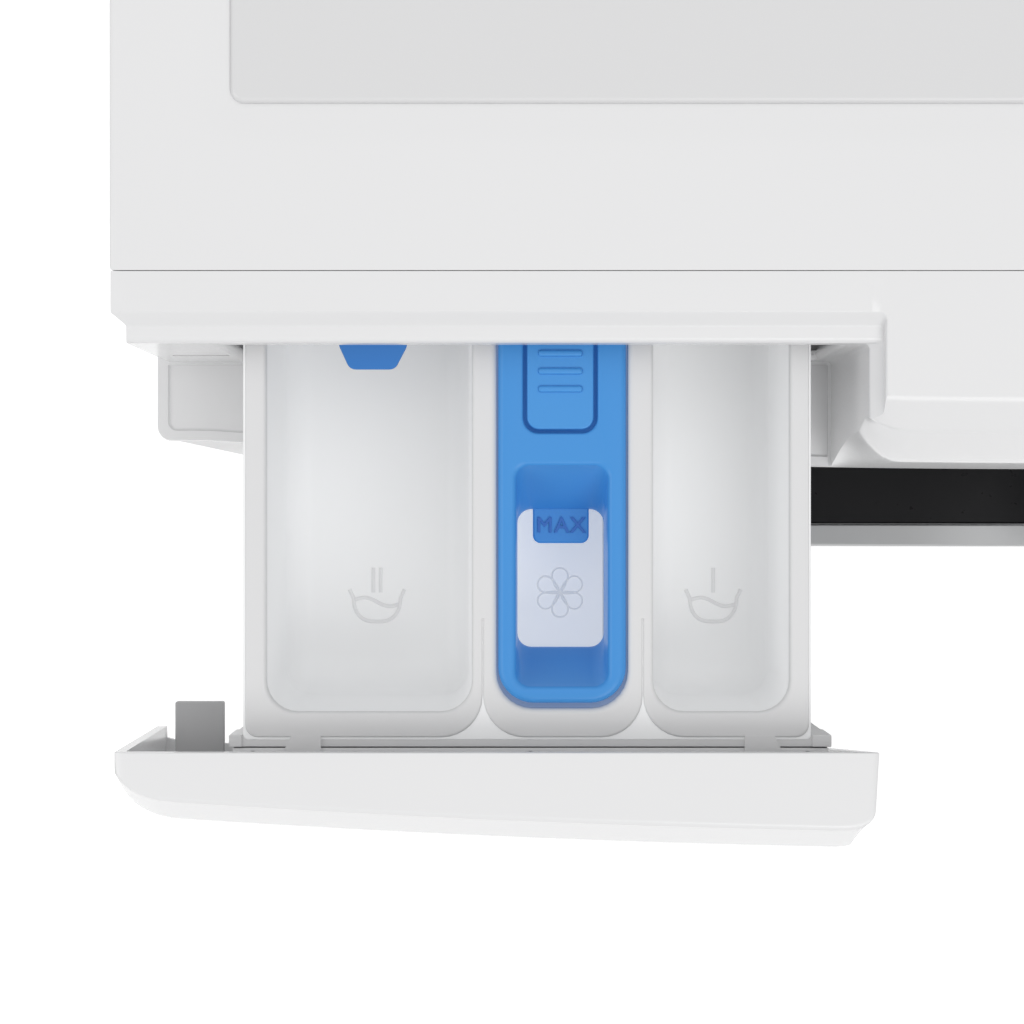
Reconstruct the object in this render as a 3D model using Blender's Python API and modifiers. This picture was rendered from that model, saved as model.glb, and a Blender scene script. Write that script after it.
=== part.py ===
"""Front load washing machine, 60 cm class, with its detergent drawer pulled out to its stop.

Metres. X runs to the machine's right, -Y to its front, +Z up, and the floor is Z = 0.
Every solid is a separate sub-part. A moving piece has its origin on its joint's axis.
"""

import math

import bmesh
import bpy
from mathutils import Matrix, Vector

# Overall size and the planes that everything else hangs from
WIDTH = 0.600
HEIGHT = 0.850
DEPTH = 0.580  # fascia front to the end of the water inlet
DRAWER_TRAVEL = 0.119
DRAWER_REACH = 0.1186  # how far the open drawer stands in front of the fascia
FRONT_Y = (DRAWER_REACH - DEPTH) / 2  # foremost line of the fascia, at X = 0
HALF = WIDTH / 2
BOARD_RISE = 0.0012
TOP_Z = HEIGHT - BOARD_RISE  # flat top of the worktop frame and control panel
CABINET_FRONT = FRONT_Y + 0.0102
CABINET_BACK = FRONT_Y + 0.560
CABINET_BOTTOM = 0.030
GAP = 0.0004  # between pieces that touch

# Worktop
WORKTOP_FRONT = FRONT_Y + 0.0572
WORKTOP_BACK = FRONT_Y + 0.572
WORKTOP_SKIRT = 0.028
WORKTOP_PLATE = 0.009
BOARD_FRONT = FRONT_Y + 0.106
BOARD_MARGIN = 0.0356

# Control panel: section heights are measured down from TOP_Z
FASCIA_RADIUS = 4.26  # plan radius of the bowed front
FASCIA_BACK = 0.0566
FASCIA_HEIGHT = 0.1073
FASCIA_WALL = 0.003
END_ROUND_X = 0.017
END_ROUND_Y = 0.010

# Recess for the drawer
RECESS_RIGHT = -0.0758
RECESS_BACK = 0.0357
RECESS_FLOOR = 0.1040
LIP_DROP = 0.004
LIP_LEFT = -0.2956
MOUTH_LEFT = -0.269
MOUTH_RIGHT = -0.082
MOUTH_TOP = 0.0150
MOUTH_BOTTOM = 0.0930

# Drawer, drawn where it stands when it is pulled out
DRAWER_FRONT = FRONT_Y - DRAWER_TRAVEL
DRAWER_LEFT = -0.2996
DRAWER_RIGHT = -0.0724
DRAWER_TOP = 0.005
DRAWER_BOTTOM = 0.1030
DRAWER_FLOOR = 0.0238  # how far back the drawer front's bottom reaches
TRAY_LEFT = -0.2629
TRAY_RIGHT = -0.0910
TRAY_FRONT = FRONT_Y - 0.0833
TRAY_LENGTH = 0.215
TRAY_RIM = 0.022
TRAY_BOTTOM = 0.086
TRAY_FLOOR = 0.080
POCKET_INSET = 0.006  # how far a pocket's floor lies inside its mouth
ARM_LEFT = -0.2890  # the guide arm that stands behind the drawer front
ARM_RIGHT = -0.2730
ARM_TOP = 0.0660
ARM_BOTTOM = 0.0700
ARM_REACH = 0.0107

# Door
AXIS_Z = 0.440  # height of the drum, tub and door centre
DOOR_RADIUS = 0.245
DOOR_BACK = CABINET_FRONT - 0.002
TRIM_BACK = FRONT_Y - 0.0187
TRIM_FRONT = FRONT_Y - 0.0267
PORTHOLE_RADIUS = 0.172
DOOR_HINGE = (-0.238, FRONT_Y - 0.0093)
HINGE_HALF = 0.035
LATCH_X = 0.2035
LATCH_PIVOT_Y = DOOR_BACK - 0.0105

# Washing group
TUB_RADIUS = 0.265
TUB_WALL = 0.003
TUB_FRONT = -0.165
TUB_SPLIT = -0.020
TUB_BACK = 0.240
MOUTH_RADIUS = 0.165
DRUM_RADIUS = 0.240
DRUM_FRONT = -0.140
DRUM_BACK = 0.208
DRUM_MOUTH = 0.150
SHAFT_RADIUS = 0.015
HUB_RADIUS = 0.045
HUB_BACK = 0.2875
PULLEY_RADIUS = 0.145
PULLEY_FRONT = 0.2885
PULLEY_WIDTH = 0.016
MOTOR_X = 0.100
MOTOR_Z = 0.125
MOTOR_PULLEY_RADIUS = 0.0116
BELT_THICKNESS = 0.004
SPRING_X = 0.250
SPRING_Y = 0.055
DAMPER_X = 0.170
DAMPER_Y = 0.040

# Controls
KNOB_X = 0.030
KNOB_Z = TOP_Z - 0.064
KNOB_RADIUS = 0.024
START_X = 0.247
START_Z = TOP_Z - 0.062
OPTION_X = 0.125
OPTION_Z = TOP_Z - 0.094

# Service hatch, filter and pump
HATCH_LEFT = 0.150
HATCH_RIGHT = 0.250
HATCH_BOTTOM = 0.050
HATCH_TOP = 0.150
FILTER_X = 0.200
FILTER_Z = 0.100

# Water fittings at the back
INLET_X = -0.205
INLET_Z = 0.775

# Feet
FOOT_X = 0.255
FOOT_FRONT_Y = CABINET_FRONT + 0.060
FOOT_BACK_Y = CABINET_BACK - 0.060
FOOT_HEIGHT = 0.0155

ROUND = 40  # sides of a large turned part
SMALL_ROUND = 20

PARTS = bpy.data.collections.new("front_load_washing_machine")
CUTTERS = bpy.data.collections.new("cutters")


# ---------------------------------------------------------------- helpers


def clear_scene():
    """Empty the file and add the two collections."""
    for item in list(bpy.data.objects):
        bpy.data.objects.remove(item, do_unlink=True)
    bpy.context.scene.collection.children.link(PARTS)
    bpy.context.scene.collection.children.link(CUTTERS)


def material(name, colour, roughness=0.4, metallic=0.0):
    """Return a Principled material of one sRGB-like colour."""
    made = bpy.data.materials.new(name)
    made.use_nodes = True
    shader = made.node_tree.nodes["Principled BSDF"]
    shader.inputs["Base Color"].default_value = (*colour, 1.0)
    shader.inputs["Roughness"].default_value = roughness
    shader.inputs["Metallic"].default_value = metallic
    made.diffuse_color = (*colour, 1.0)
    return made


def adopt(item, name, collection=PARTS):
    """Name an object and move it to its collection."""
    item.name = name
    item.data.name = name
    for home in list(item.users_collection):
        home.objects.unlink(item)
    collection.objects.link(item)
    return item


def paint(item, colour, roughness=0.4, metallic=0.0):
    """Give a sub-part a material of its own."""
    item.data.materials.clear()
    item.data.materials.append(material(item.name, colour, roughness, metallic))
    return item


def new_mesh(name, bm):
    """Turn a bmesh into an object with outward faces."""
    bmesh.ops.recalc_face_normals(bm, faces=bm.faces)
    mesh = bpy.data.meshes.new(name)
    bm.to_mesh(mesh)
    bm.free()
    item = bpy.data.objects.new(name, mesh)
    PARTS.objects.link(item)
    return item


def box(name, low, high, round_edges=0.0, segments=2):
    """A box between two corners, with its edges rounded if asked."""
    bm = bmesh.new()
    bmesh.ops.create_cube(bm, size=1.0)
    size = Vector(high) - Vector(low)
    centre = (Vector(high) + Vector(low)) / 2
    bmesh.ops.scale(bm, vec=size, verts=bm.verts)
    bmesh.ops.translate(bm, vec=centre, verts=bm.verts)
    item = new_mesh(name, bm)
    if round_edges:
        rounded(item, round_edges, segments)
    return item


def rounded(item, width, segments=2):
    """Round the sharp edges of an object."""
    bevel = item.modifiers.new("rounding", "BEVEL")
    bevel.width = width
    bevel.segments = segments
    bevel.limit_method = "ANGLE"
    return item


def cylinder(name, radius, start, end, sides=SMALL_ROUND, top_radius=None):
    """A cylinder or cone from one point to another."""
    start = Vector(start)
    along = Vector(end) - start
    bm = bmesh.new()
    bmesh.ops.create_cone(
        bm,
        cap_ends=True,
        segments=sides,
        radius1=radius,
        radius2=radius if top_radius is None else top_radius,
        depth=along.length,
    )
    turn = Vector((0, 0, 1)).rotation_difference(along).to_matrix().to_4x4()
    place = Matrix.Translation(start + along / 2) @ turn
    bmesh.ops.transform(bm, matrix=place, verts=bm.verts)
    return new_mesh(name, bm)


def turned(name, profile, centre=(0.0, AXIS_Z), sides=ROUND):
    """Turn a closed profile of (radius, y) points about a fore-and-aft axis at (x, z)."""
    area = sum(
        a[0] * b[1] - b[0] * a[1] for a, b in zip(profile, profile[1:] + profile[:1])
    )
    points = list(profile) if area < 0 else list(reversed(profile))
    mesh = bpy.data.meshes.new(name)
    count = len(points)
    edges = [(i, (i + 1) % count) for i in range(count)]
    mesh.from_pydata([(radius, 0.0, along) for radius, along in points], edges, [])
    item = bpy.data.objects.new(name, mesh)
    PARTS.objects.link(item)
    item.location = (centre[0], 0.0, centre[1])
    item.rotation_euler = (-math.pi / 2, 0.0, 0.0)
    screw = item.modifiers.new("turning", "SCREW")
    screw.steps = sides
    screw.render_steps = sides
    screw.use_merge_vertices = True
    screw.merge_threshold = 0.00005
    return item


def outline_plate(name, outline, low, high, axis="Z", holes=()):
    """A flat outline with optional holes, extruded between two levels of one axis."""
    curve = bpy.data.curves.new(name, "CURVE")
    curve.dimensions = "2D"
    curve.fill_mode = "BOTH"
    curve.extrude = (high - low) / 2
    for ring in (outline, *holes):
        spline = curve.splines.new("POLY")
        spline.points.add(len(ring) - 1)
        for point, (u, v) in zip(spline.points, ring):
            point.co = (u, v, 0.0, 1.0)
        spline.use_cyclic_u = True
    item = bpy.data.objects.new(name, curve)
    PARTS.objects.link(item)
    middle = (low + high) / 2
    if axis == "Y":
        item.rotation_euler = (math.pi / 2, 0.0, 0.0)
        item.location = (0.0, middle, 0.0)
    elif axis == "X":
        item.rotation_euler = (math.pi / 2, 0.0, math.pi / 2)
        item.location = (middle, 0.0, 0.0)
    else:
        item.location = (0.0, 0.0, middle)
    return as_mesh(item)


def as_mesh(item):
    """Replace a curve, or an object with modifiers, by its plain mesh in world space."""
    bpy.context.view_layer.update()
    graph = bpy.context.evaluated_depsgraph_get()
    mesh = bpy.data.meshes.new_from_object(item.evaluated_get(graph))
    mesh.transform(item.matrix_world)
    bm = bmesh.new()
    bm.from_mesh(mesh)
    bmesh.ops.remove_doubles(bm, verts=bm.verts, dist=0.000002)
    name = item.name
    old = item.data
    bpy.data.objects.remove(item, do_unlink=True)
    if isinstance(old, bpy.types.Mesh):
        bpy.data.meshes.remove(old)
    else:
        bpy.data.curves.remove(old)
    bpy.data.meshes.remove(mesh)
    return new_mesh(name, bm)


def wire(name, points, radius, resolution=2):
    """A round wire or tube along a list of points."""
    curve = bpy.data.curves.new(name, "CURVE")
    curve.dimensions = "3D"
    curve.bevel_depth = radius
    curve.bevel_resolution = resolution
    curve.use_fill_caps = True
    spline = curve.splines.new("POLY")
    spline.points.add(len(points) - 1)
    for point, place in zip(spline.points, points):
        point.co = (*place, 1.0)
    item = bpy.data.objects.new(name, curve)
    PARTS.objects.link(item)
    return as_mesh(item)


def combine(item, tool, operation):
    """Cut or join with a Boolean modifier, and keep the tool with the cutters."""
    adopt(tool, item.name + "_tool_" + str(len(item.modifiers)), CUTTERS)
    tool.hide_render = True
    tool.display_type = "WIRE"
    boolean = item.modifiers.new(operation.lower(), "BOOLEAN")
    boolean.operation = operation
    boolean.object = tool
    return item


def cut(item, tool):
    return combine(item, tool, "DIFFERENCE")


def join(item, tool):
    return combine(item, tool, "UNION")


def hinge_on(item, point):
    """Move an object's origin to its joint's axis, leaving its shape where it is."""
    bpy.context.view_layer.update()
    item.data.transform(Matrix.Translation(-Vector(point)) @ item.matrix_world)
    item.matrix_world = Matrix.Translation(point)
    return item


def bow(x):
    """How far the bowed front lies behind its foremost line, at a place across the width."""
    depth = FASCIA_RADIUS - math.sqrt(FASCIA_RADIUS**2 - x * x)
    into_end = abs(x) - (HALF - END_ROUND_X)
    if into_end > 0:
        share = min(into_end / END_ROUND_X, 0.9999)
        depth += END_ROUND_Y * (1 - math.sqrt(1 - share * share))
    return depth


def stations(left, right, steps=12):
    """Places across the width, close together where the ends are rounded."""
    inner = HALF - END_ROUND_X
    places = {left, right}
    places.update(left + (right - left) * i / steps for i in range(steps + 1))
    for share in (0.0, 0.35, 0.6, 0.8, 0.92, 0.98):
        for side in (-1, 1):
            place = side * (inner + END_ROUND_X * share)
            if left < place < right:
                places.add(place)
    return sorted(places)


def swept(name, section, places, shift=bow):
    """Sweep a closed (y, z, follow) section across the width along the bowed front.

    A point with follow 1 moves back with the bow, and a point with follow 0 stays straight.
    """
    bm = bmesh.new()
    rings = []
    for x in places:
        rings.append([bm.verts.new((x, y + follow * shift(x), z)) for y, z, follow in section])
    count = len(section)
    for first, second in zip(rings, rings[1:]):
        for i in range(count):
            after = (i + 1) % count
            bm.faces.new((first[i], first[after], second[after], second[i]))
    bm.faces.new(rings[0])
    bm.faces.new(reversed(rings[-1]))
    return new_mesh(name, bm)


def arc(centre, radius, first, last, steps):
    """Points on an arc, from one angle in degrees to another."""
    points = []
    for i in range(steps + 1):
        angle = math.radians(first + (last - first) * i / steps)
        points.append((centre[0] + radius * math.cos(angle), centre[1] + radius * math.sin(angle)))
    return points


def rounded_rectangle(left, bottom, right, top, radius, steps=3):
    """A rectangle outline with round corners."""
    points = arc((right - radius, top - radius), radius, 0, 90, steps)
    points += arc((left + radius, top - radius), radius, 90, 180, steps)
    points += arc((left + radius, bottom + radius), radius, 180, 270, steps)
    points += arc((right - radius, bottom + radius), radius, 270, 360, steps)
    return points


# ---------------------------------------------------------------- cabinet

WHITE = (0.78, 0.78, 0.79)
GREY = (0.42, 0.42, 0.43)
BLACK = (0.02, 0.02, 0.022)
STEEL = (0.60, 0.61, 0.62)
BLUE = (0.07, 0.30, 0.72)


def make_worktop():
    skirt_bottom = TOP_Z - WORKTOP_SKIRT
    plate_bottom = TOP_Z - WORKTOP_PLATE
    frame = box("worktop_frame", (-HALF, WORKTOP_FRONT, skirt_bottom), (HALF, WORKTOP_BACK, TOP_Z))
    low = (-HALF + 0.006, WORKTOP_FRONT - 0.01, skirt_bottom - 0.01)
    cut(frame, box("under", low, (HALF - 0.006, WORKTOP_BACK - 0.006, plate_bottom)))
    board_low = (-HALF + BOARD_MARGIN, BOARD_FRONT, plate_bottom + 0.0005)
    board_high = (HALF - BOARD_MARGIN, WORKTOP_BACK - 0.030, HEIGHT)
    window_low = (board_low[0] - GAP, board_low[1] - GAP, skirt_bottom)
    window_high = (board_high[0] + GAP, board_high[1] + GAP, HEIGHT + 0.01)
    cut(frame, box("window", window_low, window_high))
    paint(frame, WHITE, 0.35)
    paint(box("worktop_board", board_low, board_high, 0.001, 1), WHITE, 0.35)


def make_side_panels():
    for side, name in ((-1, "side_panel_left"), (1, "side_panel_right")):
        outer = HALF - 0.0005
        front, back = CABINET_FRONT + 0.0128, CABINET_BACK - 0.0006
        outline = [
            (outer, front),
            (outer, back),
            (outer - 0.014, back),
            (outer - 0.014, back - 0.001),
            (outer - 0.001, back - 0.001),
            (outer - 0.001, front + 0.001),
            (outer - 0.014, front + 0.001),
            (outer - 0.014, front),
        ]
        outline = [(side * x, y) for x, y in outline]
        panel = outline_plate(name, outline, CABINET_BOTTOM, TOP_Z - WORKTOP_SKIRT - 0.0005)
        ends = sorted((side * (HALF + 0.01), side * (HALF - 0.03)))
        notch_low = (ends[0], front - 0.01, TOP_Z - FASCIA_HEIGHT - GAP)
        cut(panel, box("notch", notch_low, (ends[1], WORKTOP_FRONT, TOP_Z)))
        paint(panel, WHITE, 0.4)


def make_back():
    top = TOP_Z - WORKTOP_SKIRT - 0.0005
    panel = box(
        "rear_panel",
        (-HALF + 0.001, CABINET_BACK, CABINET_BOTTOM),
        (HALF - 0.001, CABINET_BACK + 0.001, top),
    )
    near, far = CABINET_BACK - 0.01, CABINET_BACK + 0.01
    cut(panel, cylinder("access", 0.150, (0, near, AXIS_Z), (0, far, AXIS_Z), 32))
    rim, face = CABINET_BACK + 0.0004, CABINET_BACK + 0.006
    dome = turned(
        "dome",
        [(0, face), (0.142, face), (0.152, rim + 0.001), (0.160, rim + 0.001),
         (0.160, rim), (0.1515, rim), (0.1415, face - 0.001), (0, face - 0.001)],
        sides=32,
    )
    join(panel, dome)
    cut(panel, cylinder("inlet_hole", 0.0137, (INLET_X, near, INLET_Z), (INLET_X, far, INLET_Z)))
    paint(panel, GREY, 0.5, 0.6)


def make_front_panel():
    top = TOP_Z - FASCIA_HEIGHT - GAP
    panel = box(
        "front_panel",
        (-HALF + 0.0008, CABINET_FRONT, CABINET_BOTTOM),
        (HALF - 0.0008, CABINET_FRONT + 0.0124, top),
    )
    wall = 0.0012
    low = (-HALF + 0.0008 + wall, CABINET_FRONT + wall, CABINET_BOTTOM + wall)
    cut(panel, box("inside", low, (HALF - 0.0008 - wall, CABINET_FRONT + 0.05, top - wall)))
    near, far = CABINET_FRONT - 0.01, CABINET_FRONT + 0.01
    cut(panel, cylinder("porthole", PORTHOLE_RADIUS, (0, near, AXIS_Z), (0, far, AXIS_Z), ROUND))
    cut(panel, box("hatchway", (HATCH_LEFT, near, HATCH_BOTTOM), (HATCH_RIGHT, far, HATCH_TOP)))
    low = (LATCH_X - 0.013, near, AXIS_Z - 0.014)
    cut(panel, box("latchway", low, (LATCH_X + 0.010, far, AXIS_Z + 0.014)))
    paint(panel, WHITE, 0.4)


def make_base_frame():
    low = (-HALF + 0.004, CABINET_FRONT + 0.0145, FOOT_HEIGHT + 0.0005)
    high = (HALF - 0.004, CABINET_BACK - 0.004, 0.044)
    frame = box("base_frame", low, high)
    pan_low = (low[0] + 0.004, low[1] + 0.004, low[2] + 0.004)
    cut(frame, box("pan", pan_low, (high[0] - 0.004, high[1] - 0.004, 0.06)))
    cut(frame, box("opening", (-0.14, -0.09, 0.0), (0.14, 0.22, 0.06)))
    for x in (-FOOT_X, FOOT_X):
        for y in (FOOT_FRONT_Y, FOOT_BACK_Y):
            cut(frame, cylinder("stud_hole", 0.0060, (x, y, 0.0), (x, y, 0.06), 12))
    paint(frame, GREY, 0.6)
    end = HALF - 0.006
    brace = box("top_brace", (-end, SPRING_Y - 0.014, 0.8000), (end, SPRING_Y + 0.014, 0.8160))
    cut(brace, box("channel", (-HALF, SPRING_Y - 0.0125, 0.8015), (HALF, SPRING_Y + 0.0125, 0.83)))
    paint(brace, STEEL, 0.4, 0.9)


def make_feet():
    for x, side in ((-FOOT_X, "left"), (FOOT_X, "right")):
        for y, end in ((FOOT_FRONT_Y, "front"), (FOOT_BACK_Y, "rear")):
            name = "foot_" + end + "_" + side
            pad = cylinder(name, 0.021, (x, y, 0), (x, y, FOOT_HEIGHT - 0.001), 16, 0.016)
            join(pad, cylinder("stud", 0.005, (x, y, 0.006), (x, y, 0.040), 12))
            foot = as_mesh(pad)
            hinge_on(foot, (x, y, 0))
            paint(foot, BLACK, 0.7)


# ---------------------------------------------------------------- control panel


def fascia_section(inset=0.0):
    """The control panel's outer section, or the same drawn inwards by a wall."""
    top = TOP_Z - inset
    back = FRONT_Y + FASCIA_BACK + (0.02 if inset else 0.0)
    return [
        (back, top, 0),
        (FRONT_Y + 0.0186 + inset * 0.3, top, 1),
        (FRONT_Y + 0.0091 + inset * 0.8, TOP_Z - 0.008 - inset * 0.6, 1),
        (FRONT_Y + 0.0006 + inset, TOP_Z - 0.032 - inset * 0.2, 1),
        (FRONT_Y + inset, TOP_Z - 0.060, 1),
        (FRONT_Y + inset, TOP_Z - FASCIA_HEIGHT + inset, 1),
        (back, TOP_Z - FASCIA_HEIGHT + inset, 0),
    ]


def recess_section():
    """What the drawer's recess and its lip take out of the control panel."""
    clear = 0.05
    front, back = FRONT_Y - clear, FRONT_Y + RECESS_BACK
    floor, step = TOP_Z - RECESS_FLOOR, TOP_Z - LIP_DROP
    return [
        (front, floor),
        (back, floor),
        (back, step - 0.0006),
        (FRONT_Y + 0.0374, step),
        (FRONT_Y + 0.0410, step),
        (FRONT_Y + 0.0445, TOP_Z),
        (FRONT_Y + 0.0445, TOP_Z + clear),
        (front, TOP_Z + clear),
    ]


def make_control_panel():
    wall = FASCIA_WALL
    left, right = -HALF + 0.0004, HALF - 0.0004
    panel = swept("control_panel", fascia_section(), stations(left, right))
    cavity = swept("cavity", fascia_section(wall), stations(RECESS_RIGHT + wall, right - wall, 8))
    cut(panel, cavity)
    behind_low = (left + wall, FRONT_Y + RECESS_BACK + 0.0032, TOP_Z - RECESS_FLOOR)
    behind_high = (RECESS_RIGHT + wall + 0.01, FRONT_Y + 0.09, TOP_Z - 0.007)
    cut(panel, box("behind", behind_low, behind_high))
    cut(panel, outline_plate("recess", recess_section(), -HALF - 0.02, RECESS_RIGHT, "X"))
    bevel = [
        (RECESS_RIGHT - 0.01, TOP_Z - 0.0085),
        (RECESS_RIGHT, TOP_Z - 0.0085),
        (RECESS_RIGHT + 0.0038, TOP_Z - 0.0045),
        (RECESS_RIGHT + 0.0038, TOP_Z + 0.01),
        (RECESS_RIGHT - 0.01, TOP_Z + 0.01),
    ]
    cut(panel, outline_plate("chamfer", bevel, FRONT_Y - 0.03, FRONT_Y + 0.0410, "Y"))
    corner = [
        (-HALF - 0.01, FRONT_Y - 0.03),
        (LIP_LEFT, FRONT_Y - 0.03),
        (LIP_LEFT, FRONT_Y + 0.0410),
        (-HALF + 0.0004, FRONT_Y + 0.0445),
        (-HALF - 0.01, FRONT_Y + 0.0445),
    ]
    cut(panel, outline_plate("lip_corner", corner, TOP_Z - RECESS_FLOOR, TOP_Z + 0.01))
    mouth_low = (MOUTH_LEFT, FRONT_Y + 0.02, TOP_Z - MOUTH_BOTTOM)
    cut(panel, box("mouth", mouth_low, (MOUTH_RIGHT, FRONT_Y + 0.06, TOP_Z - MOUTH_TOP)))
    slot_low = (ARM_LEFT - 0.0015, FRONT_Y + 0.030, TOP_Z - ARM_BOTTOM - 0.0015)
    cut(panel, box("arm_slot", slot_low, (ARM_RIGHT + 0.0015, FRONT_Y + 0.048, TOP_Z - ARM_TOP + 0.0015)))
    near, far = FRONT_Y - 0.01, FRONT_Y + 0.02
    cut(panel, cylinder("spindle_hole", 0.0062, (KNOB_X, near, KNOB_Z), (KNOB_X, far, KNOB_Z), 16))
    cut(panel, cylinder("start_hole", 0.0116, (START_X, near, START_Z), (START_X, far, START_Z), 24))
    low = (OPTION_X - 0.0156, near, OPTION_Z - 0.0041)
    cut(panel, box("option_hole", low, (OPTION_X + 0.0156, far, OPTION_Z + 0.0041)))
    cut(panel, swept("window_seat", window_section(0.0005, 0.0005), window_places(0.0005)))
    paint(panel, WHITE, 0.35)


def window_places(margin=0.0):
    return stations(0.075 - margin, 0.215 + margin, 6)


def window_section(margin=0.0, depth=0.0):
    top, bottom = TOP_Z - 0.042 + margin, TOP_Z - 0.082 - margin
    front = FRONT_Y - (0.01 if depth else 0.0)
    back = FRONT_Y + 0.0014 + depth * 0.6
    return [(front, top, 1), (front, bottom, 1), (back, bottom, 1), (back, top, 1)]


def make_controls():
    paint(swept("display_window", window_section(), window_places()), BLACK, 0.15)
    knob_back = FRONT_Y - 0.0006
    front = knob_back - 0.021
    knob = turned(
        "program_knob",
        [(0, front), (KNOB_RADIUS - 0.003, front), (KNOB_RADIUS - 0.001, front + 0.002),
         (KNOB_RADIUS, knob_back), (0.0052, knob_back), (0.0052, knob_back + 0.012), (0, knob_back + 0.012)],
        (KNOB_X, KNOB_Z),
        32,
    )
    paint(knob, STEEL, 0.3, 0.8)
    face = FRONT_Y + bow(START_X)
    cap_front, cap_back = (START_X, face - 0.0022, START_Z), (START_X, face + 0.0060, START_Z)
    start = cylinder("start_button", 0.0110, cap_front, cap_back, 24)
    stem_low = (START_X - 0.004, face + 0.003, START_Z - 0.004)
    join(start, box("stem", stem_low, (START_X + 0.004, face + 0.012, START_Z + 0.004)))
    paint(start, STEEL, 0.35, 0.5)
    face = FRONT_Y + bow(OPTION_X)
    low = (OPTION_X - 0.0150, face - 0.0016, OPTION_Z - 0.0035)
    paint(box("option_button", low, (OPTION_X + 0.0150, face + 0.0100, OPTION_Z + 0.0035)), STEEL, 0.4)
    low = (0.050, FRONT_Y + 0.026, TOP_Z - 0.098)
    board = box("control_board", low, (0.285, FRONT_Y + 0.038, TOP_Z - 0.012))
    paint(board, (0.05, 0.25, 0.12), 0.5)


# ---------------------------------------------------------------- drawer


def drawer_bow(x):
    """The drawer front follows the fascia, and its inner end has a round corner."""
    depth = bow(x)
    into_end = x - (DRAWER_RIGHT - 0.010)
    if into_end > 0:
        share = min(into_end / 0.010, 0.9999)
        depth += 0.006 * (1 - math.sqrt(1 - share * share))
    return depth


def drawer_places():
    extra = [DRAWER_RIGHT - 0.010 * (1 - share) for share in (0.0, 0.5, 0.8, 0.95)]
    return sorted(set(stations(DRAWER_LEFT, DRAWER_RIGHT, 8)) | set(extra))


def make_drawer_front():
    top, bottom = TOP_Z - DRAWER_TOP, TOP_Z - DRAWER_BOTTOM
    back = DRAWER_FRONT + 0.0331
    section = [
        (back, top, 0),
        (DRAWER_FRONT + 0.0085, top - 0.0015, 1),
        (DRAWER_FRONT + 0.0006, TOP_Z - 0.030, 1),
        (DRAWER_FRONT, TOP_Z - 0.060, 1),
        (DRAWER_FRONT, bottom, 1),
        (back, bottom, 0),
    ]
    front = swept("drawer_front", section, drawer_places(), drawer_bow)
    wall = 0.003
    inner = [
        (back + 0.02, top - wall, 0),
        (DRAWER_FRONT + 0.0105, top - wall - 0.001, 1),
        (DRAWER_FRONT + 0.0045, TOP_Z - 0.034, 1),
        (DRAWER_FRONT + 0.0035, bottom + wall, 1),
        (back + 0.02, bottom + wall, 0),
    ]
    inner_right = DRAWER_RIGHT - 0.0085
    cut(front, swept("hollow", inner, stations(DRAWER_LEFT + wall, inner_right, 8), drawer_bow))
    relief = [
        (DRAWER_RIGHT - 0.0052, bottom - 0.01),
        (DRAWER_RIGHT + 0.01, bottom - 0.01),
        (DRAWER_RIGHT + 0.01, TOP_Z - 0.0053),
        (DRAWER_RIGHT - 0.0008, TOP_Z - 0.0053),
        (DRAWER_RIGHT - 0.0052, TOP_Z - 0.0092),
    ]
    cut(front, outline_plate("relief", relief, DRAWER_FRONT - 0.02, back + 0.02, "Y"))
    open_low = (DRAWER_LEFT + wall, DRAWER_FRONT + DRAWER_FLOOR, bottom - 0.01)
    cut(front, box("open_bottom", open_low, (DRAWER_RIGHT + 0.01, back + 0.02, top - 0.0035)))
    arm_low = (ARM_LEFT, DRAWER_FRONT + 0.0020 + bow(ARM_LEFT), TOP_Z - ARM_BOTTOM)
    join(front, box("arm", arm_low, (ARM_RIGHT, back + ARM_REACH, TOP_Z - ARM_TOP)))
    paint(front, WHITE, 0.35)


def pocket(name, left, right, front, back, floor, radius):
    """A tapered pocket cutter, wide at the rim and round at its corners."""
    outline = rounded_rectangle(left, front, right, back, radius)
    count = len(outline)
    middle_x, middle_y = (left + right) / 2, (front + back) / 2
    rim = TOP_Z - TRAY_RIM + 0.01
    bm = bmesh.new()
    rings = []
    for z, share in ((rim, 0.0), (floor + 0.012, 0.07), (floor, 1.0)):
        fx = 1 - 2 * POCKET_INSET * share / (right - left)
        fy = 1 - 2 * POCKET_INSET * share / (back - front)
        ring = []
        for x, y in outline:
            place = (middle_x + (x - middle_x) * fx, middle_y + (y - middle_y) * fy, z)
            ring.append(bm.verts.new(place))
        rings.append(ring)
    for upper, lower in zip(rings, rings[1:]):
        for i in range(count):
            after = (i + 1) % count
            bm.faces.new((upper[i], upper[after], lower[after], lower[i]))
    bm.faces.new(rings[0])
    bm.faces.new(reversed(rings[-1]))
    return new_mesh(name, bm)


def make_tray():
    back = TRAY_FRONT + TRAY_LENGTH
    rim, bottom = TOP_Z - TRAY_RIM, TOP_Z - TRAY_BOTTOM
    tray = box("drawer_tray", (TRAY_LEFT, TRAY_FRONT, bottom), (TRAY_RIGHT, back, rim))
    floor = TOP_Z - TRAY_FLOOR
    front = TRAY_FRONT + 0.0085
    cut(tray, pocket("main_wash", -0.2559, -0.1936, front, back - 0.006, floor, 0.0095))
    cut(tray, pocket("prewash", -0.1388, -0.0974, front, back - 0.006, floor, 0.0095))
    cut(tray, pocket("softener", -0.1874, -0.1453, TRAY_FRONT + 0.0105, back - 0.006, floor, 0.0105))
    low = (-0.2665, TRAY_FRONT - 0.0042, bottom + 0.004)
    join(tray, box("flange", low, (-0.0850, TRAY_FRONT + 0.001, rim - 0.002)))
    for x in (-0.2435, -0.1100):
        low = (x - 0.005, TRAY_FRONT - 0.0150, rim - 0.020)
        join(tray, box("snap", low, (x + 0.005, TRAY_FRONT - 0.003, rim - 0.012)))
    paint(tray, WHITE, 0.4)


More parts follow.
